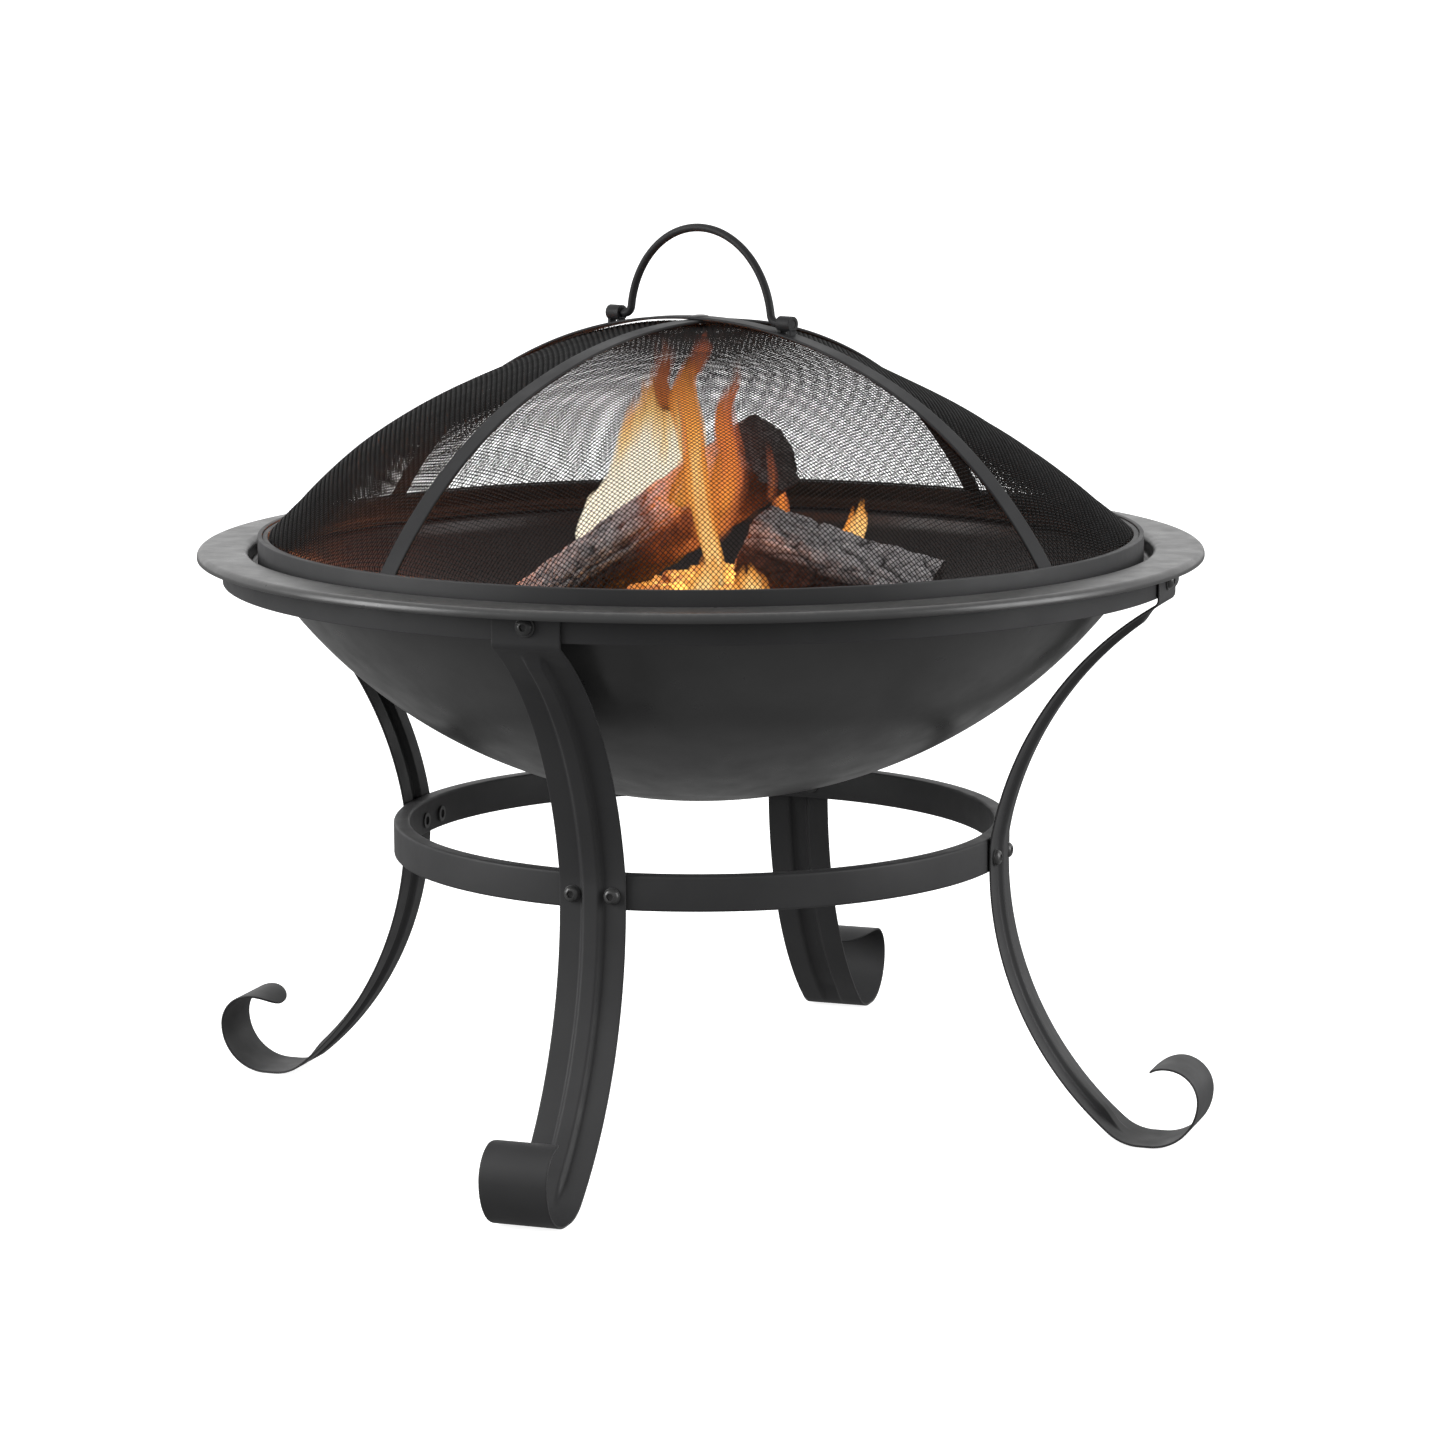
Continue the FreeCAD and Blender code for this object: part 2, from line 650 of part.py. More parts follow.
def make_strap(label, drop, turn):
    """A flat strap over the mesh from one side of the hoop to the other, drilled for the crown rivet."""
    body = new_body(label)
    half = size("strap_bar") / 2
    top = size("crown_top") - half - drop
    side = new_sketch(body, "Side", "XZ_Plane")
    draw_outline(side, thick_line(strap_line(top), half, -half))
    add_feature(body, "Pad", side, SideType="Symmetric", Length="=sizes.strap_width")
    foot = size("inner_bottom") + size("inner_height")
    trim = new_sketch(body, "Trim", "XZ_Plane")
    reach = size("hoop_radius") + 10
    corners = [Vector(-reach, foot - 30, 0), Vector(reach, foot - 30, 0), Vector(reach, foot, 0),
               Vector(-reach, foot, 0)]
    draw_outline(trim, [Part.makeLine(corners[n], corners[(n + 1) % 4]) for n in range(4)])
    add_feature(body, "Pocket", trim, SideType="Symmetric", Length="=2 * sizes.strap_width")
    hole = new_sketch(body, "Rivet_hole", "XY_Plane")
    draw_circle(hole, (0.0, None), (0.0, None), "crown_rivet")
    add_feature(body, "Pocket", hole, Reversed=True, Length="=sizes.crown_top + 10")
    turn_body(body, turn)


def make_hoop(label, outer, bar, bottom, height):
    body = new_body(label)
    section = new_sketch(body, "Section", "XZ_Plane")
    draw_bar_section(section, outer, bar, bottom, height)
    add_feature(body, "Revolution", section, ReferenceAxis=(section, ["V_Axis"]), Angle=360.0)


def mesh_line():
    """The mesh's mid line from the crown down to the foot of its skirt, inside the inner hoop."""
    half, bend = size("mesh_sheet") / 2, size("mesh_bend")
    top = size("crown_top") - 2 * size("strap_bar") - size("mesh_gap") - half
    skirt_radius = size("inner_radius") - size("inner_bar") - half
    skirt_top = size("inner_bottom") + size("mesh_skirt")
    radius, shoulder, end = crown_bends(skirt_radius - bend, top - skirt_top, bend)
    crown = size("crown_angle")
    return bent_line((0, top), 0, [
        ("bend", radius, -crown),
        ("bend", shoulder, -(end - crown)),
        ("bend", bend, -(90 - end)),
        ("go", size("mesh_skirt")),
    ])


def make_mesh_panel(label, number):
    """A quarter of the mesh dome, between two straps; it stands here as a thin curved sheet."""
    body = new_body(label)
    half = size("mesh_sheet") / 2
    line = mesh_line()
    section = new_sketch(body, "Section", "XZ_Plane")
    draw_outline(section, thick_line(cut_line(line, size("rivet_head"), line_length(line)), half, -half))
    add_feature(body, "Revolution", section, ReferenceAxis=(section, ["V_Axis"]), Angle=89.6, Midplane=True)
    turn_body(body, f"sizes.strap_turn + {45 + 90 * number}")


def make_crown_rivet():
    """A domed rivet that holds the two straps together where they cross."""
    body = new_body("crown_rivet")
    shank, head = size("crown_rivet") / 2, size("rivet_head") / 2
    top = size("crown_top") + 0.05
    under = size("crown_top") - 2 * size("strap_bar") - size("strap_gap") - 0.05
    section = new_sketch(body, "Section", "XZ_Plane")
    rise = size("rivet_dome")
    ball = (head ** 2 + rise ** 2) / (2 * rise)
    half_way = math.sqrt(ball ** 2 - head ** 2 / 4) - (ball - rise)
    dome = Part.Arc(Vector(head, top, 0), Vector(head / 2, top + half_way, 0), Vector(0, top + rise, 0)).toShape()
    corners = [Vector(0, top + rise, 0), Vector(0, under - 0.7, 0), Vector(head * 0.7, under - 0.7, 0),
               Vector(head * 0.7, under, 0), Vector(shank, under, 0), Vector(shank, top, 0),
               Vector(head, top, 0)]
    edges = [Part.makeLine(corners[n], corners[n + 1]) for n in range(6)]
    draw_outline(section, edges + [dome])
    add_feature(body, "Revolution", section, ReferenceAxis=(section, ["V_Axis"]), Angle=360.0)


def make_handle_eye(label, turn):
    """A tube on two short posts, welded to the long strap, that one end of the handle turns in."""
    body = new_body(label)
    tube = new_sketch(body, "Tube", "YZ_Plane", "sizes.eye_start")
    height = (size("pivot_z"), "sizes.pivot_z")
    draw_circle(tube, (0.0, None), height, "eye_outer")
    draw_circle(tube, (0.0, None), height, "eye_bore")
    add_feature(body, "Pad", tube, Length="=sizes.eye_length")
    half = size("strap_bar") / 2
    radius = crown_bends(size("inner_radius") - size("inner_bar") / 2,
                         size("crown_top") - half - size("inner_bottom") - size("inner_height"))[0]
    face = Vector(0, size("crown_top") - half - radius, 0)
    for start in (size("eye_start"), size("eye_start") + size("eye_length") - size("eye_post")):
        spots = [start, start + size("eye_post") / 2, start + size("eye_post")]
        seat = [face + Vector(x, math.sqrt((radius + half + 0.01) ** 2 - x * x), 0) for x in spots]
        top = size("pivot_z") - (size("eye_outer") + size("eye_bore")) / 4
        post = new_sketch(body, "Post", "XZ_Plane")
        draw_outline(post, [
            Part.Arc(*seat).toShape(),
            Part.makeLine(seat[2], Vector(spots[2], top, 0)),
            Part.makeLine(Vector(spots[2], top, 0), Vector(spots[0], top, 0)),
            Part.makeLine(Vector(spots[0], top, 0), seat[0]),
        ])
        add_feature(body, "Pad", post, SideType="Symmetric", Length="=sizes.eye_post_width")
    turn_body(body, turn)


def make_spark_guard():
    make_hoop("outer_hoop", "hoop_radius", "hoop_bar", "hoop_bottom", "hoop_height")
    make_hoop("inner_hoop", "inner_radius", "inner_bar", "inner_bottom", "inner_height")
    make_strap("long_strap", 0.0, "sizes.strap_turn")
    make_strap("cross_strap", size("strap_bar") + size("strap_gap"), "sizes.strap_turn + 90")
    for number, label in enumerate(MESH_NAMES):
        make_mesh_panel(label, number)
    make_crown_rivet()
    make_handle_eye("front_handle_eye", "sizes.strap_turn")
    make_handle_eye("rear_handle_eye", "sizes.strap_turn + 180")


def make_handle():
    """The bail: round rod bent to an arch whose two ends turn outward into the eyes."""
    body = new_body("handle")
    arch, bend = size("bail_radius"), size("bail_bend")
    lift = size("pivot_z") + bend - size("bail_centre_z")
    reach = math.sqrt((arch + bend) ** 2 - lift ** 2)
    lean = math.degrees(math.asin(lift / (arch + bend)))
    end = size("bail_end")
    line = bent_line((-end, size("pivot_z")), 0, [
        ("go", end - reach),
        ("bend", bend, 90 - lean),
        ("bend", arch, -(180 - 2 * lean)),
        ("bend", bend, 90 - lean),
        ("go", end - reach),
    ])
    path = new_sketch(body, "Line", "XZ_Plane")
    draw_outline(path, [edge.toShape() for edge in side_line(line, 0.0)])
    rod = new_sketch(body, "Rod", "YZ_Plane", "-sizes.bail_end")
    draw_circle(rod, (0.0, None), (size("pivot_z"), "sizes.pivot_z"), "bail_rod")
    doc.recompute()
    pipe = body.newObject("PartDesign::AdditivePipe", "Bail")
    pipe.Profile = rod
    pipe.Spine = (path, [f"Edge{n + 1}" for n in range(len(line))])
    turn_body(body, "sizes.strap_turn")


# ---------------------------------------------------------------- grate and firewood
def make_grate():
    ring = new_body("grate_ring")
    section = new_sketch(ring, "Section", "XZ_Plane")
    draw_circle(section, (size("grate_radius"), "sizes.grate_radius"), (size("grate_z"), "sizes.grate_z"),
                "grate_rod")
    add_feature(ring, "Revolution", section, ReferenceAxis=(section, ["V_Axis"]), Angle=360.0)

    bars = new_body("grate_bars")
    height = size("grate_z") + (size("grate_rod") + size("bar_rod")) / 2
    for number in range(-BARS_EACH_SIDE, BARS_EACH_SIDE + 1):
        across = number * size("bar_pitch")
        section = new_sketch(bars, "Bar", "YZ_Plane")
        draw_circle(section, (across, None), (height, None), "bar_rod")
        reach = size("grate_radius") + size("grate_rod") / 2 - 1
        chord = math.sqrt(reach ** 2 - across ** 2)
        add_feature(bars, "Pad", section, SideType="Symmetric", Length=2 * chord)

    feet = new_body("grate_feet")
    section = new_sketch(feet, "Foot", "XY_Plane", "sizes.grate_foot_bottom")
    draw_circle(section, (size("grate_radius"), "sizes.grate_radius"), (0.0, None), "grate_rod")
    foot = add_feature(feet, "Pad", section, Length="=sizes.grate_z - sizes.grate_foot_bottom")
    around(feet, [foot])
    seat = new_sketch(feet, "Seat", "XZ_Plane")
    draw_circle(seat, (size("grate_radius"), "sizes.grate_radius"), (size("grate_z"), "sizes.grate_z"),
                "grate_rod")
    feet.Tip = add_feature(feet, "Groove", seat, ReferenceAxis=(seat, ["V_Axis"]), Angle=360.0)
    turn_body(feet, "45")


def make_log(label, low, high, low_corners, high_corners):
    """A split log: a section of (toward the front, upward) corners at each end, joined by flat sides."""
    axis = (high - low).normalize()
    front = axis.cross(Z_AXIS).normalize()
    if front.y > 0:
        front = front * -1
    upward = axis.cross(front).normalize()
    if upward.z < 0:
        upward = upward * -1
    ends = []
    for middle, corners in ((low, low_corners), (high, high_corners)):
        closed = corners + corners[:1]
        ends.append(Part.makePolygon([middle + front * across + upward * up for across, up in closed]))
    log = doc.addObject("Part::Feature", label)
    log.Shape = Part.makeLoft(ends, True, True)
    return keep(log, label)


def make_firewood():
    round_section = [(20, 4), (13, 17), (-3, 21), (-17, 14), (-21, -2), (-14, -16), (2, -19), (15, -13)]
    thick_end = [(1.18 * front, 1.18 * up - 2) for front, up in round_section]
    left = make_log("left_log", Vector(-105, 58, 266), Vector(36, -48, 378), round_section, thick_end)
    right = make_log("right_log", Vector(27, -36, 322), Vector(122, -70, 296),
                     [(22, -3), (9, 19), (-21, 25), (-22, -22), (12, -26)],
                     [(24, -14), (17, 3), (-21, 26), (-26, -21), (8, -29)])

    radius, height = size("bed_radius"), size("bed_height")
    floor = size("grate_z") + size("grate_rod") / 2 + size("bar_rod")
    ball = doc.addObject("Part::Sphere", "bed_ball")
    ball.setExpression("Radius", "sizes.bed_radius")
    ball.Placement.Base = Vector(10, -20, floor + height - radius)
    box = doc.addObject("Part::Box", "bed_box")
    box.Length, box.Width, box.Height = 2 * radius, 2 * radius, radius
    box.Placement.Base = Vector(10 - radius, -20 - radius, floor)
    heap = doc.addObject("Part::Common", "bed_heap")
    heap.Base, heap.Tool = ball, box
    beside = doc.addObject("Part::Cut", "bed_beside_left_log")
    beside.Base, beside.Tool = heap, left
    bed = doc.addObject("Part::Cut", "ember_bed")
    bed.Base, bed.Tool = beside, right
    keep(bed, "ember_bed")


def write_parts():
    """Check every object and sub-part, then write one file for each."""
    doc.recompute()
    for item in doc.Objects:
        assert not {"Invalid", "Error"} & set(item.State), f"{item.Label} failed: {item.State}"
    for item in parts:
        assert not item.Shape.isNull(), f"{item.Label} is empty"
        assert item.Shape.isValid(), f"{item.Label} is not valid"
    os.makedirs("parts", exist_ok=True)
    for item in parts:
        item.Shape.exportStep(f"parts/{item.Label}.step")
        box = item.Shape.BoundBox
        print(f"{item.Label:20s} {len(item.Shape.Solids):2d} solids {item.Shape.Volume:11.1f} mm3"
              f"  x {box.XMin:7.1f} {box.XMax:7.1f}  y {box.YMin:7.1f} {box.YMax:7.1f}"
              f"  z {box.ZMin:6.1f} {box.ZMax:6.1f}")


make_stand()
make_bowl()
make_spark_guard()
make_handle()
make_grate()
make_firewood()
write_parts()
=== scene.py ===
import math

import bpy
import numpy as np
from mathutils import Matrix, Vector, noise


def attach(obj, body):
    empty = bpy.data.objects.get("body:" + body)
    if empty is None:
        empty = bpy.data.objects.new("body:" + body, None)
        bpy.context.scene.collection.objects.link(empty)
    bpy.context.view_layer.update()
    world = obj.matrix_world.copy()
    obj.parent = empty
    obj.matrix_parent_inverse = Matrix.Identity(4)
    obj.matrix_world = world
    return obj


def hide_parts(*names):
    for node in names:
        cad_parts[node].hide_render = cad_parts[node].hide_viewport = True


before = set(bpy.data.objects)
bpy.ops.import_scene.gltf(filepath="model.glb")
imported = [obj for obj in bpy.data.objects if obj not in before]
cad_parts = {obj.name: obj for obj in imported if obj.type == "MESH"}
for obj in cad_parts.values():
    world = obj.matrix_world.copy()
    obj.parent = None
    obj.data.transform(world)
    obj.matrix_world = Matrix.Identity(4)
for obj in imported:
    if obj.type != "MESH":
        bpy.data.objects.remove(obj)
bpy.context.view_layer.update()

MM = 0.001

# ---------------- sizes, in mm, the same as the CAD's
LEG_TURN = -109.4
LEG_TOP = (266.6, 320.0)
LEG_HALF_WIDTH = 18.75
LEG_SHEET = 1.2
RIB_HALF = 6.6
RIB_HEIGHT = 3.2
STRAP_TURN = -42.1
STRAP_HALF_WIDTH = 5.75
STRAP_BAR = 1.6
CROWN_TOP = 447.8
CROWN_ANGLE = 24.6
SHOULDER_RATIO = 0.797
STRAP_FOOT = (242.2, 328.6)
PIVOT_Z = 446.8
BAIL_ROD = 2.25
MESH_PITCH = 2.12
MESH_WIRE = 0.48
MESH_EDGE = 240.1
RIM_SCREW_Z = 311.8
RING_SCREW_Z = 155.5
RING_SCREW_SIDE = 11.2
BOWL_RECESS = 251.0
GRATE_RADIUS = 150.0
FIRE_CENTRE = (10.0, -20.0)
MOUND_FOOT = 247.2
MOUND_TOP = 307.0
MOUND_REACH = 101.0
MOUND_BALL = 115.0
LEG_NAMES = ["front_left_leg", "front_right_leg", "rear_right_leg", "rear_left_leg"]
MESH_NAMES = ["right_mesh_panel", "rear_mesh_panel", "left_mesh_panel", "front_mesh_panel"]


# ---------------- plane lines
def bent_path(start, heading, moves, step=2.0, turn_step=5.0):
    """Points and left normals along a smooth line of ("go", length) and ("bend", radius, angle) moves."""
    point = np.array(start, float)
    angle = math.radians(heading)
    points, normals = [point.copy()], [np.array([-math.sin(angle), math.cos(angle)])]
    for move in moves:
        if move[0] == "go":
            count = max(1, int(math.ceil(move[1] / (step * 4))))
            for _ in range(count):
                point = point + np.array([math.cos(angle), math.sin(angle)]) * (move[1] / count)
                points.append(point.copy())
                normals.append(np.array([-math.sin(angle), math.cos(angle)]))
        else:
            radius, sweep = move[1], math.radians(move[2])
            side = math.copysign(1, sweep)
            centre = point + np.array([-math.sin(angle), math.cos(angle)]) * (radius * side)
            pieces = max(abs(sweep) * radius / step, abs(move[2]) / turn_step)
            count = max(2, int(math.ceil(pieces)))
            for _ in range(count):
                angle += sweep / count
                away = angle - side * math.pi / 2
                point = centre + np.array([math.cos(away), math.sin(away)]) * radius
                points.append(point.copy())
                normals.append(np.array([-math.sin(angle), math.cos(angle)]))
    return np.array(points), np.array(normals)


def along(points):
    """Distance along a line at each of its points."""
    return np.concatenate([[0.0], np.cumsum(np.linalg.norm(np.diff(points, axis=0), axis=1))])


def resampled(wanted, distance, points):
    """The plane points of a line at the wanted distances along it."""
    return np.stack([np.interp(wanted, distance, points[:, k]) for k in (0, 1)], 1)


def full_turn(count):
    """Evenly spaced angles round a circle."""
    return np.linspace(0, 2 * math.pi, count, endpoint=False)


def unit(vector):
    return vector / np.linalg.norm(vector)


def unit_rows(vectors):
    return vectors / np.linalg.norm(vectors, axis=1)[:, None]


def round_corners(corners, radius, steps=4):
    """A closed outline with each corner turned into a small arc."""
    corners = np.array(corners, float)
    out = []
    count = len(corners)
    for i in range(count):
        here, before, after = corners[i], corners[i - 1], corners[(i + 1) % count]
        toward = unit(before - here)
        onward = unit(after - here)
        opening = math.acos(max(-1.0, min(1.0, float(toward @ onward))))
        reach = min(radius / math.tan(opening / 2), 0.45 * np.linalg.norm(before - here),
                    0.45 * np.linalg.norm(after - here))
        first, last = here + toward * reach, here + onward * reach
        for k in range(steps + 1):
            share = k / steps
            out.append((1 - share) ** 2 * first + 2 * share * (1 - share) * here + share ** 2 * last)
    return np.array(out)


def box_section(inner, outer, low, high, corner, steps=5):
    """A ring's section: a rectangle with rounded corners."""
    return round_corners([(inner, low), (outer, low), (outer, high), (inner, high)], corner, steps)


def crown_line(run, rise):
    """Crown radius, shoulder radius and end angle of a dome line that falls by rise over run."""
    ratio, crown = SHOULDER_RATIO, math.radians(CROWN_ANGLE)
    across = (1 - ratio) * math.sin(crown)
    upright = 1 - (1 - ratio) * math.cos(crown)
    square = 2 * (1 - ratio) * (1 - math.cos(crown))
    linear = across * run + upright * rise
    radius = (linear - math.sqrt(linear ** 2 - square * (run ** 2 + rise ** 2))) / square
    end = math.atan2(run - across * radius, upright * radius - rise)
    return radius, ratio * radius, math.degrees(end)


def strap_path(top, step=2.5):
    """A strap's mid line from crown to foot."""
    radius, shoulder, end = crown_line(STRAP_FOOT[0], top - STRAP_FOOT[1])
    return bent_path((0, top), 0, [("bend", radius, -CROWN_ANGLE), ("bend", shoulder, -(end - CROWN_ANGLE))],
                     step)


# ---------------- meshes
def turn_about_z(points, degrees):
    a = math.radians(degrees)
    spin = np.array([[math.cos(a), -math.sin(a), 0], [math.sin(a), math.cos(a), 0], [0, 0, 1]])
    return np.asarray(points, float) @ spin.T


def into_scene(name, data):
    made = bpy.data.objects.new(name, data)
    bpy.context.scene.collection.objects.link(made)
    return made


def add_piece(name, points, faces, body, material, nodes=(), slot=None, sharp=38.0):
    """A mesh of points in mm that rides on a body and stands for CAD nodes."""
    mesh = bpy.data.meshes.new(name)
    mesh.from_pydata((np.asarray(points, float) * MM).tolist(), [], faces)
    mesh.validate()
    mesh.shade_smooth()
    if sharp is not None:
        mesh.set_sharp_from_angle(angle=math.radians(sharp))
    mesh.materials.append(material)
    piece = into_scene(name, mesh)
    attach(piece, body)
    if nodes:
        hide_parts(*nodes)
    return piece


def grid_faces(rows, columns, close_rows=False, close_columns=False, first=0):
    """Quads of a grid of points numbered row by row."""
    i = np.arange(rows if close_rows else rows - 1)
    j = np.arange(columns if close_columns else columns - 1)
    a, b = np.meshgrid(i, j, indexing="ij")
    up, right = (a + 1) % rows, (b + 1) % columns
    quads = np.stack([a * columns + b, a * columns + right, up * columns + right, up * columns + b], -1)
    return (quads.reshape(-1, 4) + first).tolist()


def lathe(outline, segments=256, closed=True):
    """An outline of (radius, height) turned about Z. An open one starts and ends on the axis."""
    outline = np.asarray(outline, float)
    turn = full_turn(segments)
    ring = outline if closed else outline[1:-1]
    radius, height = ring[:, 0][None], ring[:, 1][None]
    points = np.stack([radius * np.cos(turn)[:, None], radius * np.sin(turn)[:, None],
                       np.repeat(height, segments, 0)], -1).reshape(-1, 3)
    count = len(ring)
    faces = grid_faces(segments, count, close_rows=True, close_columns=closed)
    if not closed:
        low, high = len(points), len(points) + 1
        points = np.vstack([points, [[0, 0, outline[0, 1]], [0, 0, outline[-1, 1]]]])
        for i in range(segments):
            nxt = (i + 1) % segments
            faces.append([low, i * count, nxt * count])
            faces.append([high, nxt * count + count - 1, i * count + count - 1])
    return points, faces


def strip(path, normals, section, half_width, half_sheet, lift=None):
    """A bent sheet in the XZ plane. Section is a closed loop of shares of the half width and half sheet."""
    count, around = len(path), len(section)
    width = np.broadcast_to(np.asarray(half_width, float), (count,))
    across = width[:, None] * section[:, 0][None]
    thick = half_sheet * section[:, 1][None] * np.ones((count, 1))
    if lift is not None:
        thick = thick + lift(along(path)[:, None], across)
    x = path[:, 0][:, None] + normals[:, 0][:, None] * thick
    z = path[:, 1][:, None] + normals[:, 1][:, None] * thick
    points = np.stack([x, across, z], -1).reshape(-1, 3)
    faces = grid_faces(count, around, close_columns=True)
    faces.append(list(range(around))[::-1])
    faces.append(list(range((count - 1) * around, count * around)))
    return points, faces


def sheet_section(samples, edge):
    """A sheet's section with rounded long edges; edge is the rounding's share of the half width."""
    top = np.linspace(-1 + edge, 1 - edge, samples)
    bulge = [math.radians(a) for a in (67.5, 45, 22.5, 0, -22.5, -45, -67.5)]
    right = [(1 - edge + edge * math.cos(a), math.sin(a)) for a in bulge]
    left = [(-1 + edge - edge * math.cos(a), -math.sin(a)) for a in bulge]
    loop = [(w, 1.0) for w in top] + right + [(w, -1.0) for w in top[::-1]] + left
    return np.array(loop)[::-1]


def tube(line, radius, sides=16, closed=False):
    """A round tube along 3-D points; radius may differ from point to point."""
    line = np.asarray(line, float)
    count = len(line)
    radius = np.broadcast_to(np.asarray(radius, float), (count,))
    if closed:
        heading = np.roll(line, -1, 0) - np.roll(line, 1, 0)
    else:
        heading = np.gradient(line, axis=0)
    heading = unit_rows(heading)
    side = np.cross(heading[0], [0.0, 0.0, 1.0])
    if np.linalg.norm(side) < 1e-3:
        side = np.cross(heading[0], [0.0, 1.0, 0.0])
    side = unit(side)
    turn = full_turn(sides)
    rings = []
    for i in range(count):
        side = unit(side - heading[i] * (side @ heading[i]))
        up = np.cross(heading[i], side)
        rings.append(line[i] + radius[i] * (np.cos(turn)[:, None] * side + np.sin(turn)[:, None] * up))
    points = np.concatenate(rings)
    faces = grid_faces(count, sides, close_rows=closed, close_columns=True)
    if not closed:
        faces.append(list(range(sides))[::-1])
        faces.append(list(range((count - 1) * sides, count * sides)))
    return points, faces


def joined(parts):
    """Several (points, faces) as one."""
    points, faces, first = [], [], 0
    for some, theirs in parts:
        points.append(np.asarray(some, float))
        faces += [[n + first for n in face] for face in theirs]
        first += len(some)
    return np.vstack(points), faces


# ---------------- materials
def new_material(name):
    material = bpy.data.materials.new(name)
    material.use_nodes = True
    tree = material.node_tree
    tree.nodes.clear()
    return material, tree


def node(tree, kind, inputs=None, **settings):
    made = tree.nodes.new("ShaderNode" + kind)
    for key, value in settings.items():
        setattr(made, key, value)
    for key, value in (inputs or {}).items():
        if isinstance(value, bpy.types.NodeSocket):
            tree.links.new(value, made.inputs[key])
        else:
            made.inputs[key].default_value = value
    return made


def speckle(tree, scale, detail=3.0, rough=0.5, stretch=None):
    """A noise over the object's own place, as a number from 0 to 1."""
    place = node(tree, "TexCoord").outputs["Object"]
    if stretch:
        place = node(tree, "VectorMath", {0: place, 1: stretch}, operation="MULTIPLY").outputs[0]
    grain = node(tree, "TexNoise",
                 {"Vector": place, "Scale": scale, "Detail": detail, "Roughness": rough})
    return grain.outputs["Fac"]


def remap(tree, value, low, high, to_low, to_high, curve="LINEAR"):
    ends = {"From Min": low, "From Max": high, "To Min": to_low, "To Max": to_high}
    return node(tree, "MapRange", {"Value": value, **ends}, interpolation_type=curve).outputs[0]


def maths(tree, operation, first, second):
    return node(tree, "Math", {0: first, 1: second}, operation=operation).outputs[0]


def from_mesh(tree, name):
    """A number that the mesh carries at its points."""
    return node(tree, "Attribute", attribute_name=name).outputs["Fac"]


def facing_up(tree):
    """1 on level faces that look up, 0 on walls."""
    normal = node(tree, "NewGeometry").outputs["Normal"]
    return node(tree, "SeparateXYZ", {0: normal}).outputs[2]


def grain_bump(tree, height, strength, depth):
    """A surface direction roughened by a noise; depth is in metres."""
    inputs = {"Height": height, "Strength": strength, "Distance": depth}
    return node(tree, "Bump", inputs).outputs[0]


def solid_surface(tree, colour, roughness, direction, specular, tint=None, power=None):
    """An opaque surface, with a light of its own where tint and power are given."""
    inputs = {"Base Color": colour, "Roughness": roughness, "Normal": direction,
              "Specular IOR Level": specular}
    if tint is not None:
        inputs.update({"Emission Color": tint, "Emission Strength": power})
    made = node(tree, "BsdfPrincipled", inputs)
    node(tree, "OutputMaterial", {"Surface": made.outputs[0]})


def blend_colours(tree, share, first, second):
    mix = node(tree, "Mix", {"Factor": share}, data_type="RGBA")
    for key, value in ((6, first), (7, second)):
        if isinstance(value, bpy.types.NodeSocket):
            tree.links.new(value, mix.inputs[key])
        else:
            mix.inputs[key].default_value = (*value, 1.0)
    return mix.outputs[2]


def sooty_share(tree):
    """1 on upward faces inside the bowl, 0 on its flange and outside."""
    place = node(tree, "TexCoord").outputs["Object"]
    place = node(tree, "SeparateXYZ", {0: place}).outputs
    squares = [maths(tree, "MULTIPLY", place[k], place[k]) for k in (0, 1)]
    edge = BOWL_RECESS * MM
    within = remap(tree, maths(tree, "ADD", *squares), (edge - 0.003) ** 2, edge ** 2, 1.0, 0.0)
    return maths(tree, "MULTIPLY", within, remap(tree, facing_up(tree), 0.0, 0.1, 0.0, 1.0))


def coated_metal(name, dark, light, roughness, specular, bump=0.05, pale_fleck_amount=0.0, spread=0.06, sooty=False):
    """Powder coat or stove paint: slight cloudiness, orange-peel grain, lighter grey-brown flecks on upward
    faces.
    """
    material, tree = new_material(name)
    cloud = remap(tree, speckle(tree, 22, 4), 0.3, 0.7, 0.0, 1.0)
    colour = blend_colours(tree, cloud, dark, light)
    # Lighter grey-brown flecks on the faces that look up.
    if pale_fleck_amount > 0:
        lying = remap(tree, facing_up(tree), 0.5, 1.0, 0.0, pale_fleck_amount)
        fleck_pattern = remap(tree, speckle(tree, 260, 6, 0.7), 0.45, 0.75, 0.0, 1.0)
        colour = blend_colours(tree, maths(tree, "MULTIPLY", lying, fleck_pattern), colour, (0.30, 0.28, 0.26))
    if sooty:
        colour = blend_colours(tree, sooty_share(tree), colour, (0.013, 0.009, 0.008))
    shine = remap(tree, speckle(tree, 60, 5), 0.3, 0.7, roughness - spread, roughness + spread)
    solid_surface(tree, colour, shine, grain_bump(tree, speckle(tree, 1500, 2), bump, 0.0004), specular)
    return material


def wire_metal(name):
    material, tree = new_material(name)
    cloud = remap(tree, speckle(tree, 40, 3), 0.3, 0.7, 0, 1)
    colour = blend_colours(tree, cloud, (0.004, 0.004, 0.004), (0.010, 0.010, 0.010))
    shine = remap(tree, speckle(tree, 80, 2), 0.3, 0.7, 0.45, 0.6)
    solid_surface(tree, colour, shine, grain_bump(tree, speckle(tree, 2500, 2), 0.05, 0.0002), 0.18)
    return material


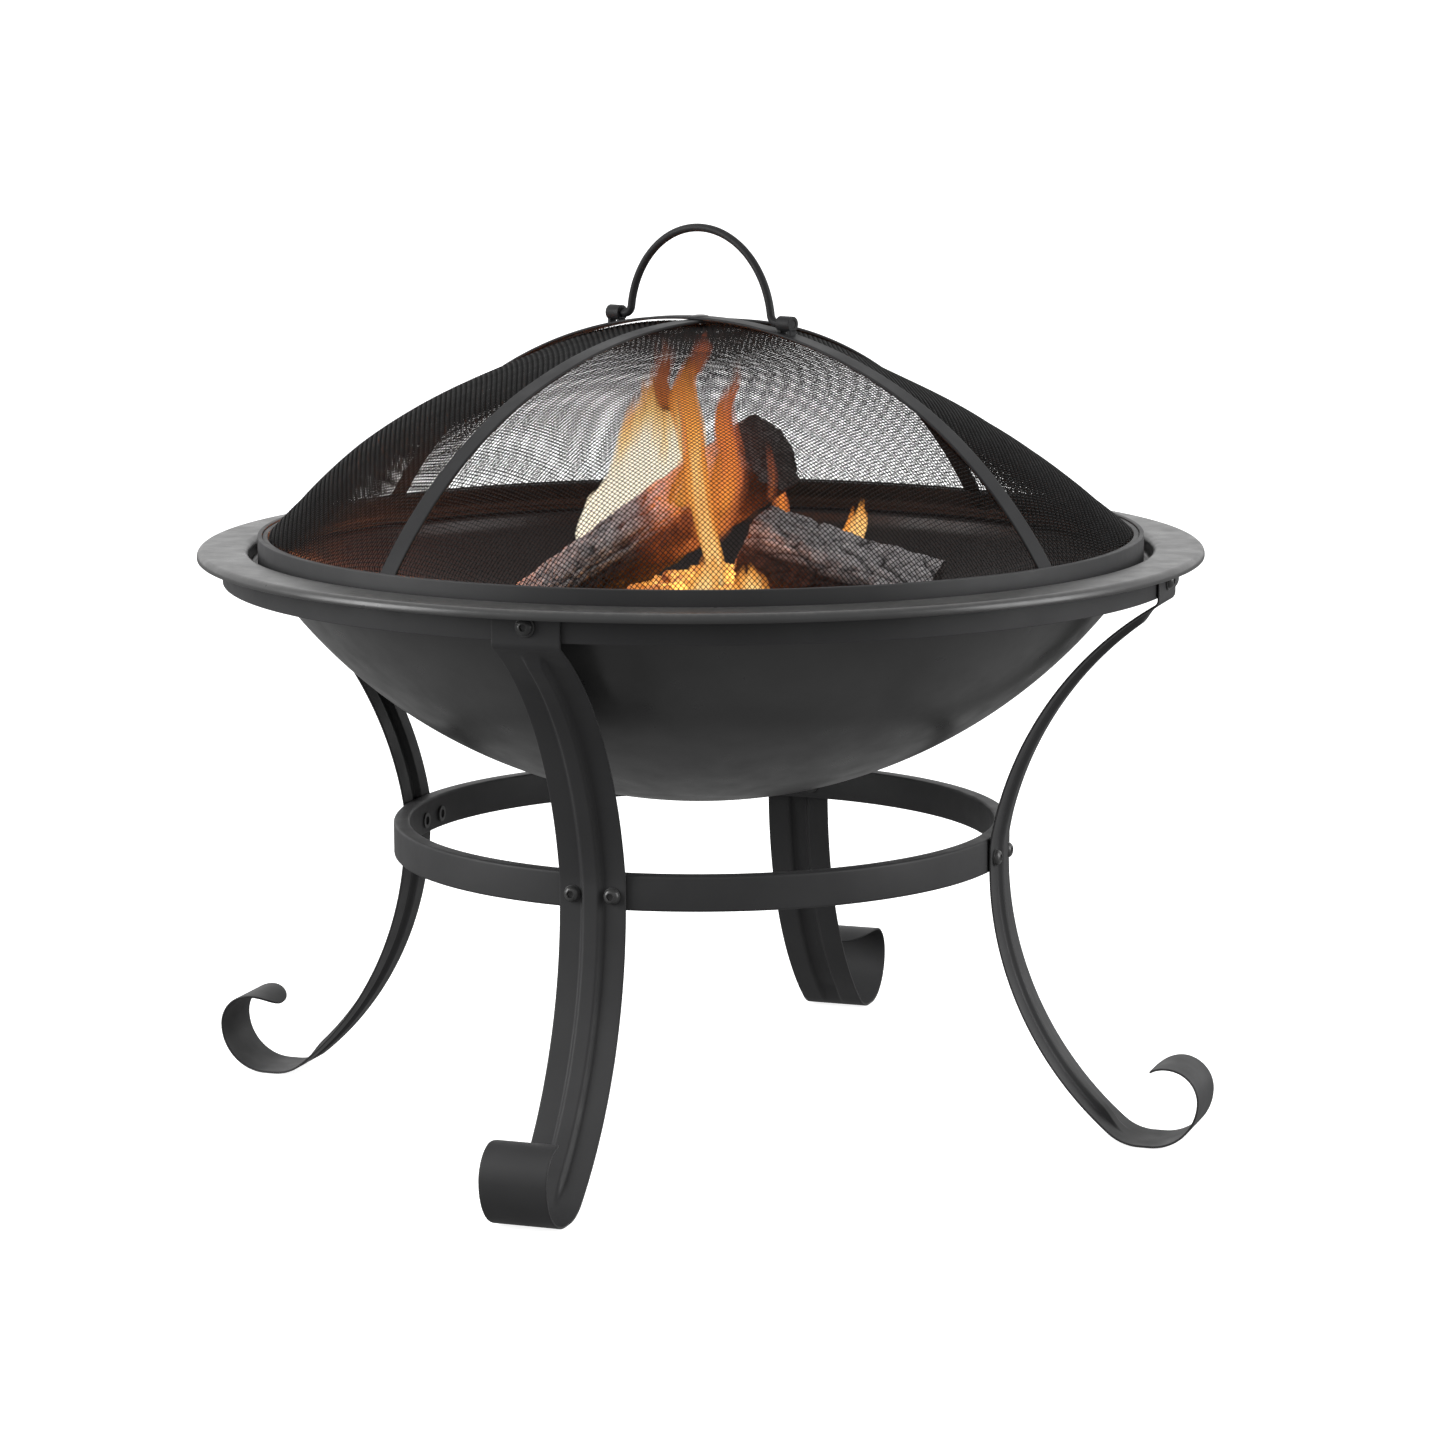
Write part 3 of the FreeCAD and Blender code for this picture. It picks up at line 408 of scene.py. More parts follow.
def charred_wood(name):
    """Burnt wood. On the mesh, "depth" is 1 on the plates and 0 in the cracks, "ash" is 1 on grey upper faces
    and "warm" is where it glows."""
    material, tree = new_material(name)
    depth = from_mesh(tree, "depth")
    grain = remap(tree, speckle(tree, 180, 6, 0.65), 0.3, 0.7, 0.0, 1.0)
    plate = blend_colours(tree, grain, (0.014, 0.007, 0.005), (0.050, 0.025, 0.018))
    streaks = remap(tree, speckle(tree, 330, 5, 0.7), 0.3, 0.7, 0.0, 1.0)
    pale = blend_colours(tree, streaks, (0.24, 0.23, 0.235), (0.72, 0.69, 0.70))
    grey = blend_colours(tree, from_mesh(tree, "ash"), plate, pale)
    colour = blend_colours(tree, depth, (0.006, 0.003, 0.002), grey)
    patch = remap(tree, speckle(tree, 60, 5, 0.6), 0.40, 0.60, 0.35, 1.0)
    in_cracks = remap(tree, maths(tree, "SUBTRACT", 1.0, depth), 0.1, 0.9, 0.5, 1.0)
    glow = maths(tree, "MULTIPLY", maths(tree, "MULTIPLY", from_mesh(tree, "warm"), patch), in_cracks)
    tint = blend_colours(tree, glow, (1.0, 0.16, 0.03), (1.0, 0.38, 0.10))
    rough = grain_bump(tree, speckle(tree, 600, 6, 0.7), 0.5, 0.0012)
    solid_surface(tree, colour, 0.82, rough, 0.35, tint, maths(tree, "MULTIPLY", glow, 1.3))
    return material


def ember_coal(name):
    """Glowing charcoal: bright in the gaps and toward the middle, ashy on the outer lumps."""
    material, tree = new_material(name)
    grain = remap(tree, speckle(tree, 120, 6, 0.65), 0.35, 0.68, 0.0, 1.0)
    ash = blend_colours(tree, grain, (0.02, 0.015, 0.012), (0.24, 0.21, 0.19))
    patch = remap(tree, speckle(tree, 75, 5, 0.6), 0.34, 0.55, 0.12, 1.0)
    gap = maths(tree, "SUBTRACT", 1.0, from_mesh(tree, "depth"))
    glow = maths(tree, "MULTIPLY", from_mesh(tree, "warm"), maths(tree, "MAXIMUM", patch, gap))
    tint = blend_colours(tree, remap(tree, glow, 0.05, 0.45, 0, 1), (1.0, 0.14, 0.01), (1.0, 0.50, 0.10))
    lumps = grain_bump(tree, speckle(tree, 420, 6, 0.7), 0.6, 0.0015)
    solid_surface(tree, ash, 0.9, lumps, 0.5, tint, maths(tree, "MULTIPLY", glow, 3.0))
    return material


def fire_colours(tree, warmth):
    """Dull red through orange to pale yellow."""
    ramp = node(tree, "ValToRGB", {"Fac": warmth})
    stops = ramp.color_ramp.elements
    stops[0].position, stops[0].color = 0.0, (0.40, 0.09, 0.05, 1)
    stops[1].position, stops[1].color = 1.0, (1.0, 0.90, 0.70, 1)
    for position, colour in ((0.22, (0.68, 0.18, 0.06, 1)), (0.42, (0.84, 0.25, 0.04, 1)),
                             (0.62, (0.95, 0.40, 0.08, 1)), (0.82, (1.0, 0.66, 0.26, 1))):
        stops.new(position).color = colour
    return ramp.outputs[0]


def flame_glow(name):
    """Fire: clear at its rim and tip, bright at its heart. "height" is 0 at the foot and 1 at the tip."""
    material, tree = new_material(name)
    height = from_mesh(tree, "height")
    facing = node(tree, "LayerWeight", {"Blend": 0.5}).outputs["Facing"]
    share = maths(tree, "POWER", maths(tree, "SUBTRACT", 1.0, facing), 1.7)
    wisps = remap(tree, speckle(tree, 42, 4, 0.6, (1.0, 1.0, 0.22)), 0.34, 0.60, 0.25, 1.0)
    fade = remap(tree, height, 0.62, 1.0, 1.0, 0.0, "SMOOTHSTEP")
    rise = remap(tree, height, 0.0, 0.12, 0.15, 1.0, "SMOOTHSTEP")
    for other in (wisps, fade, rise, from_mesh(tree, "dense")):
        share = maths(tree, "MULTIPLY", share, other)
    share = maths(tree, "MINIMUM", share, 1.0)
    flicker = remap(tree, speckle(tree, 30, 3, 0.5, (1.0, 1.0, 0.3)), 0.3, 0.7, -0.12, 0.12)
    colour = fire_colours(tree, maths(tree, "ADD", from_mesh(tree, "hot"), flicker))
    light = node(tree, "Emission", {"Color": colour, "Strength": 1.25})
    clear = node(tree, "BsdfTransparent")
    mixed = node(tree, "MixShader", {0: share, 1: clear.outputs[0], 2: light.outputs[0]})
    node(tree, "OutputMaterial", {"Surface": mixed.outputs[0]})
    return material


FRAME_COAT = coated_metal("frame_coat", (0.034, 0.034, 0.035), (0.042, 0.042, 0.043), 0.50, 0.22)
BOWL_COAT = coated_metal("bowl_coat", (0.034, 0.034, 0.034), (0.042, 0.042, 0.042), 0.33, 0.52, 0.04,
                         pale_fleck_amount=0.16, sooty=True)
STRAP_COAT = coated_metal("strap_coat_look", (0.020, 0.020, 0.021), (0.026, 0.026, 0.027), 0.48, 0.14)
SCREW_COAT = coated_metal("screw_coat", (0.03, 0.03, 0.03), (0.05, 0.05, 0.05), 0.30, 0.5, 0.04)
GRATE_IRON = coated_metal("grate_iron_look", (0.02, 0.017, 0.015), (0.07, 0.055, 0.045), 0.75, 0.3, 0.3,
                          spread=0.1)
WIRE = wire_metal("mesh_wire_look")
WOOD = charred_wood("charred_wood_look")
COAL = ember_coal("ember_coal_look")
FLAME = flame_glow("flame_look")


# ---------------- stand
def leg_path():
    """A leg's mid line in its own upright plane, tab to scroll tip, and the stretch that carries the rib."""
    low_radius, low_angle = 40.0, math.radians(10)
    bend, foot, scroll, half = 4.0, 188.0, 26.8, LEG_SHEET / 2
    start_z, straight = 160.2, 8.4
    run, rise = 266.0 - 173.5, 303.8 - 0.6 - start_z
    across = bend + low_radius * (1 - math.cos(low_angle)) - run
    upward = rise - low_radius * math.sin(low_angle)
    spread = across * math.cos(low_angle) + upward * math.sin(low_angle)
    radius = (across ** 2 + upward ** 2 - bend ** 2) / (2 * (bend - spread))
    meet = math.degrees(math.acos((across + radius * math.cos(low_angle)) / (bend + radius)))
    turn = math.degrees(math.asin((start_z - straight - half - scroll) / (foot - scroll)))
    upper = [("go", LEG_TOP[1] - 303.2), ("bend", bend, -meet), ("bend", radius, meet - 10),
             ("bend", low_radius, 10), ("go", straight), ("bend", foot, turn)]
    rest = [("bend", scroll, 90 - turn), ("go", 6), ("bend", scroll, 90), ("bend", 17.4, 140)]
    points, normals = bent_path(LEG_TOP, -90, upper + rest, 1.5, 3.0)
    shank = along(bent_path(LEG_TOP, -90, upper, 1.5, 3.0)[0])[-1]
    return points, normals, shank


def smooth_step(value):
    value = np.clip(value, 0, 1)
    return value * value * (3 - 2 * value)


def make_legs():
    """The tip is rounded, so the strip is drawn finely there and narrows along a half circle."""
    points, normals, shank = leg_path()
    distance = along(points)
    total = distance[-1]
    near_tip = total - LEG_HALF_WIDTH * (1 - np.cos(np.linspace(0, 1.57, 22)))
    wanted = np.unique(np.concatenate([distance, near_tip]))
    fine = resampled(wanted, distance, points)
    bent = unit_rows(resampled(wanted, distance, normals))
    from_tip = np.clip(total - wanted, 0, None)
    inside = np.clip(1 - from_tip / LEG_HALF_WIDTH, 0, 0.9995)
    width = LEG_HALF_WIDTH * np.sqrt(1 - inside ** 2)

    def rib(s, across):
        fade = smooth_step((s - 26) / 12) * smooth_step((shank + 8 - s) / 22)
        side = smooth_step((RIB_HALF - np.abs(across)) / 2.8)
        return RIB_HEIGHT * fade * side

    section = sheet_section(61, 0.028)
    for number, name in enumerate(LEG_NAMES):
        made, faces = strip(fine, bent, section, width, LEG_SHEET / 2, rib)
        add_piece(name + "_strip", turn_about_z(made, LEG_TURN + 90 * number), faces, "stand", FRAME_COAT,
                  [name], "black_powder_coat", 50)


def rolled_bar(cad_name, kind, body, radii, heights, corner, segments=360, steps=5):
    """A flat bar or a tube rolled to a full circle."""
    points, faces = lathe(box_section(*radii, *heights, corner, steps), segments)
    add_piece(f"{cad_name}_{kind}", points, faces, body, FRAME_COAT, [cad_name], "black_powder_coat")


def make_rings():
    rolled_bar("upper_ring", "band", "stand", (264, 266), (303.8, 320.75), 0.5, steps=4)
    rolled_bar("lower_ring", "tube", "stand", (164.5, 173.5), (147.5, 166.7), 1.6, segments=300)


def along_x(points, seat, across, height):
    """Stand a piece turned about its own Z on the line along X at that height and offset."""
    points = np.asarray(points, float)
    return np.stack([seat + points[:, 2], across + points[:, 1], height - points[:, 0]], -1)


def button_screw():
    """A button head with a hexagon socket, on its shank, about Z."""
    around = 48
    turn = full_turn(around)
    hexagon = 1.75 / np.cos((turn + math.pi / 6) % (math.pi / 3) - math.pi / 6)
    circle = np.ones_like(turn)
    rings = [(circle * 2.5, -8.0), (circle * 2.5, 0.0), (circle * 4.25, 0.0), (circle * 4.4, 0.15),
             (circle * 4.38, 0.5), (circle * 4.05, 1.35), (circle * 3.5, 2.05), (circle * 2.8, 2.55),
             (circle * 2.3, 2.72), (hexagon + 0.12, 2.75), (hexagon, 2.6), (hexagon, 0.9),
             (hexagon * 0.6, 0.7)]
    points = np.concatenate([np.stack([r * np.cos(turn), r * np.sin(turn), np.full_like(turn, z)], -1)
                             for r, z in rings])
    faces = grid_faces(len(rings), around, close_columns=True)
    faces.append(list(range(around))[::-1])
    faces.append(list(range((len(rings) - 1) * around, len(rings) * around)))
    return points, faces


def make_screws():
    washer = lathe(box_section(2.6, 5.3, 0, 1.0, 0.25, 3), 40)
    small = lathe(box_section(2.6, 4.6, 0, 1.0, 0.25, 3), 40)
    screw = button_screw()
    rim_face, ring_face, both = 267.2, 174.7, (-RING_SCREW_SIDE, RING_SCREW_SIDE)
    for name, cad_name, shape, seat, sides, height in (
            ("rim_washer_set", "rim_washers", washer, rim_face, (0,), RIM_SCREW_Z),
            ("rim_screw_set", "rim_bolts", screw, rim_face + 1, (0,), RIM_SCREW_Z),
            ("ring_washer_set", "ring_washers", small, ring_face, both, RING_SCREW_Z),
            ("ring_screw_set", "ring_bolts", screw, ring_face + 1, both, RING_SCREW_Z)):
        copies = [(turn_about_z(along_x(shape[0], seat, across, height), LEG_TURN + 90 * number), shape[1])
                  for number in range(4) for across in sides]
        add_piece(name, *joined(copies), "stand", SCREW_COAT, [cad_name], "black_fastener", 40)


# ---------------- bowl
def make_bowl():
    half, radius, bottom = 0.6, 291.4, 180.2
    dish, wall = math.radians(54), math.radians(74)
    bend, ledge, flange, lip = 18.0, 3.0, 4.0, 3.0
    reach = radius * math.sin(dish) + bend * (math.sin(wall) - math.sin(dish))
    level = bottom + radius * (1 - math.cos(dish)) + bend * (math.cos(dish) - math.cos(wall))
    ledge_z, flange_z, recess = 312 - half, 322 - half, BOWL_RECESS + half
    rise = (ledge_z - level - ledge * (1 - math.cos(wall))) / math.sin(wall)
    ledge_start = reach + rise * math.cos(wall) + ledge * math.sin(wall)
    points, normals = bent_path((0, bottom), 0, [
        ("bend", radius, 54), ("bend", bend, 20), ("go", rise), ("bend", ledge, -74),
        ("go", recess - ledge - ledge_start), ("bend", ledge, 90),
        ("go", flange_z - flange - ledge_z - ledge), ("bend", flange, -90),
        ("go", 280 - half - lip - recess - flange), ("bend", lip, -90), ("go", flange_z - lip - 317.6)],
        2.5, 7.0)
    inner, outer = points + normals * half, points - normals * half
    tip, tangent = points[-1], np.array([0.0, -1.0])
    cap = [tip + normals[-1] * half * math.cos(a) + tangent * half * math.sin(a)
           for a in np.radians([30, 60, 90, 120, 150])]
    outline = np.vstack([inner, cap, outer[::-1]])
    made, faces = lathe(outline, 360, closed=False)
    add_piece("bowl_pressing", made, [face[::-1] for face in faces], "bowl", BOWL_COAT, ["bowl"],
              "black_enamel", 60)


# ---------------- spark guard
def make_hoops():
    rolled_bar("outer_hoop", "bar", "guard", (243.8, 246.4), (312.4, 329.4), 0.7)
    rolled_bar("inner_hoop", "bar", "guard", (240.6, 243.75), (315.6, 328.6), 0.7)


def make_straps():
    section = sheet_section(15, 0.09)
    for name, drop, turn in (("long_strap", 0.0, STRAP_TURN), ("cross_strap", 1.7, STRAP_TURN + 90)):
        half, normal = strap_path(CROWN_TOP - STRAP_BAR / 2 - drop)
        path = np.vstack([(half * [-1, 1])[:0:-1], half])
        normals = np.vstack([(normal * [-1, 1])[:0:-1], normal])
        points, faces = strip(path, normals, section, STRAP_HALF_WIDTH, STRAP_BAR / 2)
        add_piece(name + "_bar", turn_about_z(points, turn), faces, "guard", STRAP_COAT, [name], "strap_coat",
                  50)


def sag_at(height, kind):
    """How far the middle of a gore hangs inside the straps; a slack gore hangs lower."""
    heights = [330, 348, 365, 380, 397, 420, 432, 440, 446]
    plain = [2, 4.6, 5.2, 5.6, 6.8, 8.2, 8.0, 7.0, 2]
    slack = [2, 7.2, 10.2, 12.4, 14.0, 13.6, 11.0, 7.0, 2]
    return np.interp(height, heights, plain if kind == "plain" else slack)


def gore_mapping(kind):
    """A function that lays flat points (u, v) of a quarter circle on the dome, and the flat quarter's radius.
    The mesh starts just under the straps, hangs a little in each gore's middle, and past the dome's foot it
    drops as a short skirt."""
    path, normal = strap_path(CROWN_TOP - 2.6, 2.0)
    distance, radius, height = along(path), path[:, 0], path[:, 1]
    flat = 0.5 * (distance + radius)
    edge = 0.5 * (distance[-1] + radius[-1])

    def place(u, v, lift):
        grid = np.hypot(u, v)
        turn = np.arctan2(v, u)
        across, upright, out, up = (np.interp(grid, flat, values)
                                    for values in (radius, height, normal[:, 0], normal[:, 1]))
        middle = 1 - np.abs(turn / (math.pi / 4) - 1) ** 2.2
        sag = sag_at(upright, kind) * middle
        over = np.clip(grid - edge, 0, None)
        across = np.where(over > 0, MESH_EDGE, across - out * sag + out * lift)
        upright = np.where(over > 0, height[-1] - 0.5 - over, upright - up * sag + up * lift)
        across = np.minimum(across, MESH_EDGE + lift * 0.6)
        return np.stack([across * np.cos(turn), across * np.sin(turn), upright], -1)

    return place, edge


def three_sided_wire(line, radius):
    """Points of a wire with three sides, which is enough at this size."""
    corners = np.radians([90.0, 210.0, 330.0])
    heading = unit_rows(np.gradient(line, axis=0))
    side = unit_rows(np.cross(heading, [0.0, 0.0, 1.0]))
    up = np.cross(side, heading)
    return (line[:, None] + radius * (np.cos(corners)[None, :, None] * side[:, None]
                                      + np.sin(corners)[None, :, None] * up[:, None])).reshape(-1, 3)


def make_mesh_panels():
    """Plain-woven wire in four gores, its wires running parallel to the straps."""
    skirt, step = 9.0, MESH_PITCH
    for number, name in enumerate(MESH_NAMES):
        place, edge = gore_mapping("slack" if name == "right_mesh_panel" else "plain")
        thick = MESH_WIRE / 2 * (1.3 if name in ("right_mesh_panel", "left_mesh_panel") else 1.0)
        points, faces, first = [], [], 0
        for lengthways in (False, True):
            for i in range(int((edge + skirt) / step) + 1):
                fixed = (i + 0.5) * step
                limit = (edge + skirt) ** 2 - fixed ** 2
                if limit < (2 * step) ** 2:
                    continue
                steps = int(math.sqrt(limit) / step)
                run = np.concatenate([[0.3], (np.arange(steps + 1) + 0.5) * step])
                crimp = np.where((np.arange(len(run)) + i) % 2 == 0, 1.0, -1.0) * thick * 0.9
                held = np.full_like(run, fixed)
                line = place(run, held, -crimp) if lengthways else place(held, run, crimp)
                points.append(three_sided_wire(line, thick))
                faces += grid_faces(len(run), 3, close_columns=True, first=first)
                first += len(run) * 3
        made = turn_about_z(np.vstack(points), STRAP_TURN + 90 * number)
        add_piece(name + "_weave", made, faces, "guard", WIRE, [name], "black_wire", None)


def make_crown_rivet():
    dome = [(5 * math.sin(a), CROWN_TOP + 0.05 + 1.0 * math.cos(a)) for a in np.linspace(0, math.pi / 2, 8)]
    outline = dome + [(5, CROWN_TOP + 0.02), (2.5, CROWN_TOP), (2.5, 444.45), (3.5, 444.4), (3.5, 443.8),
                      (0, 443.75)]
    points, faces = lathe(outline, 40, closed=False)
    add_piece("crown_rivet_head", points, [face[::-1] for face in faces], "guard", SCREW_COAT,
              ["crown_rivet"], "black_fastener", 40)


def make_eyes():
    start, length, inset, post_width = 58.8, 9.4, 2.4, 2.5
    points, faces = lathe(box_section(2.33, 4.3, 0, length, 0.35, 3), 40)
    radius = crown_line(STRAP_FOOT[0], CROWN_TOP - STRAP_BAR / 2 - STRAP_FOOT[1])[0] + STRAP_BAR / 2
    for name, turn in (("front_handle_eye", STRAP_TURN), ("rear_handle_eye", STRAP_TURN + 180)):
        pieces = [(along_x(points, start, 0, PIVOT_Z), faces)]
        for near in (start, start + length - inset):
            foot = CROWN_TOP - radius + math.sqrt(radius ** 2 - (near + inset / 2) ** 2) - 0.15
            post = box_section(near, near + inset, -post_width, post_width, 0.6, 3)
            low = np.column_stack([post, np.full(len(post), foot)])
            high = np.column_stack([post, np.full(len(post), PIVOT_Z - 3.0)])
            count = len(post)
            pieces.append((np.vstack([low, high]), grid_faces(2, count, close_columns=True)
                           + [list(range(count))[::-1], list(range(count, 2 * count))]))
        made, made_faces = joined(pieces)
        add_piece(name + "_tube", turn_about_z(made, turn), made_faces, "guard", STRAP_COAT, [name],
                  "strap_coat", 40)


def make_handle():
    arch, bend, end = 52.4, 5.0, 67.8
    lift = PIVOT_Z + bend - 444.3
    reach = math.sqrt((arch + bend) ** 2 - lift ** 2)
    lean = math.degrees(math.asin(lift / (arch + bend)))
    path, _ = bent_path((-end, PIVOT_Z), 0, [("go", end - reach), ("bend", bend, 90 - lean),
                                             ("bend", arch, -(180 - 2 * lean)), ("bend", bend, 90 - lean),
                                             ("go", end - reach)], 1.2, 6.0)
    line = np.column_stack([path[:, 0], np.zeros(len(path)), path[:, 1]])
    points, faces = tube(line, BAIL_ROD, 20)
    add_piece("bail_rod", turn_about_z(points, STRAP_TURN), faces, "handle", STRAP_COAT, ["handle"],
              "strap_coat")


# ---------------- grate
def make_grate():
    turn = full_turn(120)
    circle = np.column_stack([GRATE_RADIUS * np.cos(turn), GRATE_RADIUS * np.sin(turn), np.full(120, 237.0)])
    ring = tube(circle, 4, 16, True)
    add_piece("grate_ring_rod", *ring, "grate", GRATE_IRON, ["grate_ring"], "grate_iron")
    bars = []
    for number in range(-4, 5):
        across = 34 * number
        half = math.sqrt((GRATE_RADIUS + 3) ** 2 - across ** 2)
        bars.append(tube([(x, across, 244) for x in np.linspace(-half, half, 24)], 3, 14))
    add_piece("grate_bar_rods", *joined(bars), "grate", GRATE_IRON, ["grate_bars"], "grate_iron", 50)
    feet = []
    for number in range(4):
        a = math.radians(45 + 90 * number)
        spot = (GRATE_RADIUS * math.cos(a), GRATE_RADIUS * math.sin(a))
        feet.append(tube([(*spot, z) for z in (225.7, 226.3, 232, 236)], (3.7, 4, 4, 4), 16))
    add_piece("grate_foot_rods", *joined(feet), "grate", GRATE_IRON, ["grate_feet"], "grate_iron", 50)


# ---------------- firewood
def set_values(piece, **values):
    for name, value in values.items():
        attribute = piece.data.attributes.new(name, "FLOAT", "POINT")
        attribute.data.foreach_set("value", np.asarray(value, np.float32))


def cell_edge(point):
    """How near a point is to the border between two cells: 0 on the border."""
    near = noise.voronoi(point, distance_metric="DISTANCE", exponent=2.5)[0]
    return near[1] - near[0]


def log_directions(low, high):
    """A log's length and its directions: along, toward the front and up."""
    length = np.linalg.norm(high - low)
    axis = (high - low) / length
    front = unit(np.cross(axis, [0, 0, 1.0]))
    front *= -1 if front[1] > 0 else 1
    upward = unit(np.cross(axis, front))
    upward *= -1 if upward[2] < 0 else 1
    return length, axis, front, upward


def log_outline(corners, count):
    """A rounded outline with a given number of evenly spaced points."""
    outline = round_corners(corners, 5.0, 6)
    closed = np.vstack([outline, outline[:1]])
    distance = along(closed)
    return resampled(np.linspace(0, distance[-1], count, endpoint=False), distance, closed)


def burnt_relief(place, spot, grain_spot, crack_depth, on_end):
    """How far the surface stands out, 1 on a plate and 0 in a crack, and the lengthwise streak."""
    wander = noise.noise_vector(place * 0.05) * 0.35
    crack = min(1.0, cell_edge(spot + wander) / 0.10)
    small = min(1.0, cell_edge((spot + wander) * 2.3) / 0.12)
    solid = min(crack, 0.45 + 0.55 * small)
    rough = noise.fractal(place * 0.09, 1.0, 2.0, 5)
    streak = noise.fractal(grain_spot, 1.0, 2.0, 3)
    if on_end:
        return 2.2 * rough - 1.2 * (1 - small) - 1.5 * (1 - crack), solid, streak
    return -crack_depth * (1 - solid) + 1.1 * rough + 0.6 * streak, solid, streak


def ash_amount(place, out, ash_side, streak, on_end):
    """Grey ash lies on the faces that look toward ash_side and hardly at all on the ends."""
    cloud = 0.85 + 0.8 * noise.fractal(place * 0.05 + Vector((9, 9, 9)), 1.0, 2.0, 4)
    if on_end:
        return 0.15 * cloud
    lying = max(0.0, float(out @ np.array(ash_side)))
    return max(0.0, min(1.0, (lying - 0.35) * 2.6 * cloud + 0.25 * streak))


def make_log(cad_name, low, high, low_corners, high_corners, plate, ash_side):
    """A burnt split log: rounded section, long plates with cracks between them, rough ends."""
    low, high = np.array(low, float), np.array(high, float)
    length, axis, front, upward = log_directions(low, high)
    around, rows, crack_depth = 200, 210, 2.0
    loops = [log_outline(corners, around) for corners in (low_corners, high_corners)]
    ends = np.linspace(0, 1, 26)[:-1] ** 0.8
    stations = [(0.0, e) for e in ends] + [(s, 1.0) for s in np.linspace(0.004, 0.996, rows)]
    stations += [(1.0, e) for e in ends[::-1]]
    points, depth, ash, warm = [], [], [], []
    for share, scale in stations:
        on_end = scale < 1.0
        loop = loops[0] * (1 - share) + loops[1] * share
        middle = loop.mean(0)
        for corner in loop:
            flat = middle + (corner - middle) * max(scale, 0.004)
            place = low + axis * (length * share) + front * flat[0] + upward * flat[1]
            out = unit(front * (corner - middle)[0] + upward * (corner - middle)[1])
            if on_end:
                out = -axis if share == 0 else axis
            spot = Vector((share * length / plate[0], flat[0] / plate[1], flat[1] / plate[1]))
            spot += Vector((7, 3, 5))
            grain_spot = Vector((share * length * 0.02, flat[0] * 0.35, flat[1] * 0.35))
            push, solid, streak = burnt_relief(Vector(place), spot, grain_spot, crack_depth, on_end)
            points.append(place + out * push)
            depth.append(solid)
            ash.append(ash_amount(Vector(place), out, ash_side, streak, on_end))
            warm.append(near_fire(place, out))
    faces = grid_faces(len(stations), around, close_columns=True)
    piece = add_piece(cad_name + "_wood", points, faces, "firewood", WOOD, [cad_name], "charred_wood", None)
    set_values(piece, depth=depth, ash=ash, warm=warm)


def near_fire(place, out):
    """Heat on the wood: on faces toward the coals, and where the tongues lick over the left log."""
    coals = np.array([12.0, -40.0, 306.0])
    away = coals - place
    distance = np.linalg.norm(away)
    faced = max(0.0, float(out @ (away / max(distance, 1e-6))) * 0.7 + 0.25)
    below = faced * math.exp(-(distance / 34.0) ** 2) * 1.5
    lick = np.array([-8.0, -28.0, 362.0])
    apart = (place - lick) * [1.0, 0.6, 0.9]
    outward = max(0.0, float(out @ np.array([-0.45, -0.6, 0.66])) + 0.15)
    above = outward * math.exp(-float(apart @ apart) / 25.0 ** 2) * 1.7
    return float(max(0.0, min(1.0, below + above)))


def make_firewood():
    section = [(20, 4), (13, 17), (-3, 21), (-17, 14), (-21, -2), (-14, -16), (2, -19), (15, -13)]
    thick_end = [(1.18 * front, 1.18 * up - 2) for front, up in section]
    make_log("left_log", (-105, 58, 266), (36, -48, 378), section, thick_end, (50.0, 5.0),
             (-0.50, -0.50, 0.70))
    make_log("right_log", (27, -36, 322), (122, -70, 296),
             [(22, -3), (9, 19), (-21, 25), (-22, -22), (12, -26)],
             [(24, -14), (17, 3), (-21, 26), (-26, -21), (8, -29)], (30.0, 8.0), (0.2, -0.2, 0.96))


def mound_height(r):
    """The top of the heap at distance r from its middle: part of a large ball."""
    return MOUND_TOP - MOUND_BALL + math.sqrt(MOUND_BALL ** 2 - r ** 2)


def round_fire(r, turn):
    return FIRE_CENTRE[0] + r * math.cos(turn), FIRE_CENTRE[1] + r * math.sin(turn)


def ember_mound():
    """The heap itself, with its lumps' warmth and depth."""
    rows, around = 70, 180
    points, warm, depth = [], [], []
    for i in range(rows):
        share = i / (rows - 1)
        r = MOUND_REACH * share
        for k in range(around):
            x, y = round_fire(r, 2 * math.pi * k / around)
            place = Vector((x, y, 0)) * 0.085
            edge = cell_edge(place + noise.noise_vector(place) * 0.3)
            lump = min(1.0, edge / 0.45) ** 0.5
            relief = 5.0 * (lump - 0.6) + 2.0 * noise.fractal(place * 3, 1.0, 2.0, 3)
            z = max(MOUND_FOOT, mound_height(r) - 4.5 + relief)
            points.append((x, y, z if share < 1 else MOUND_FOOT))
            depth.append(min(1.0, lump * 1.1))
            warm.append(max(0.0, 1.15 - (r / 88.0) ** 2))
    faces = grid_faces(rows, around, close_columns=True)
    faces.append(list(range((rows - 1) * around, rows * around))[::-1])
    return (np.array(points), faces), warm, depth


def unit_ball():
    bpy.ops.mesh.primitive_ico_sphere_add(subdivisions=3, radius=1.0)
    ball = bpy.context.object
    points = np.array([v.co for v in ball.data.vertices])
    faces = [list(p.vertices) for p in ball.data.polygons]
    bpy.data.objects.remove(ball)
    return points, faces


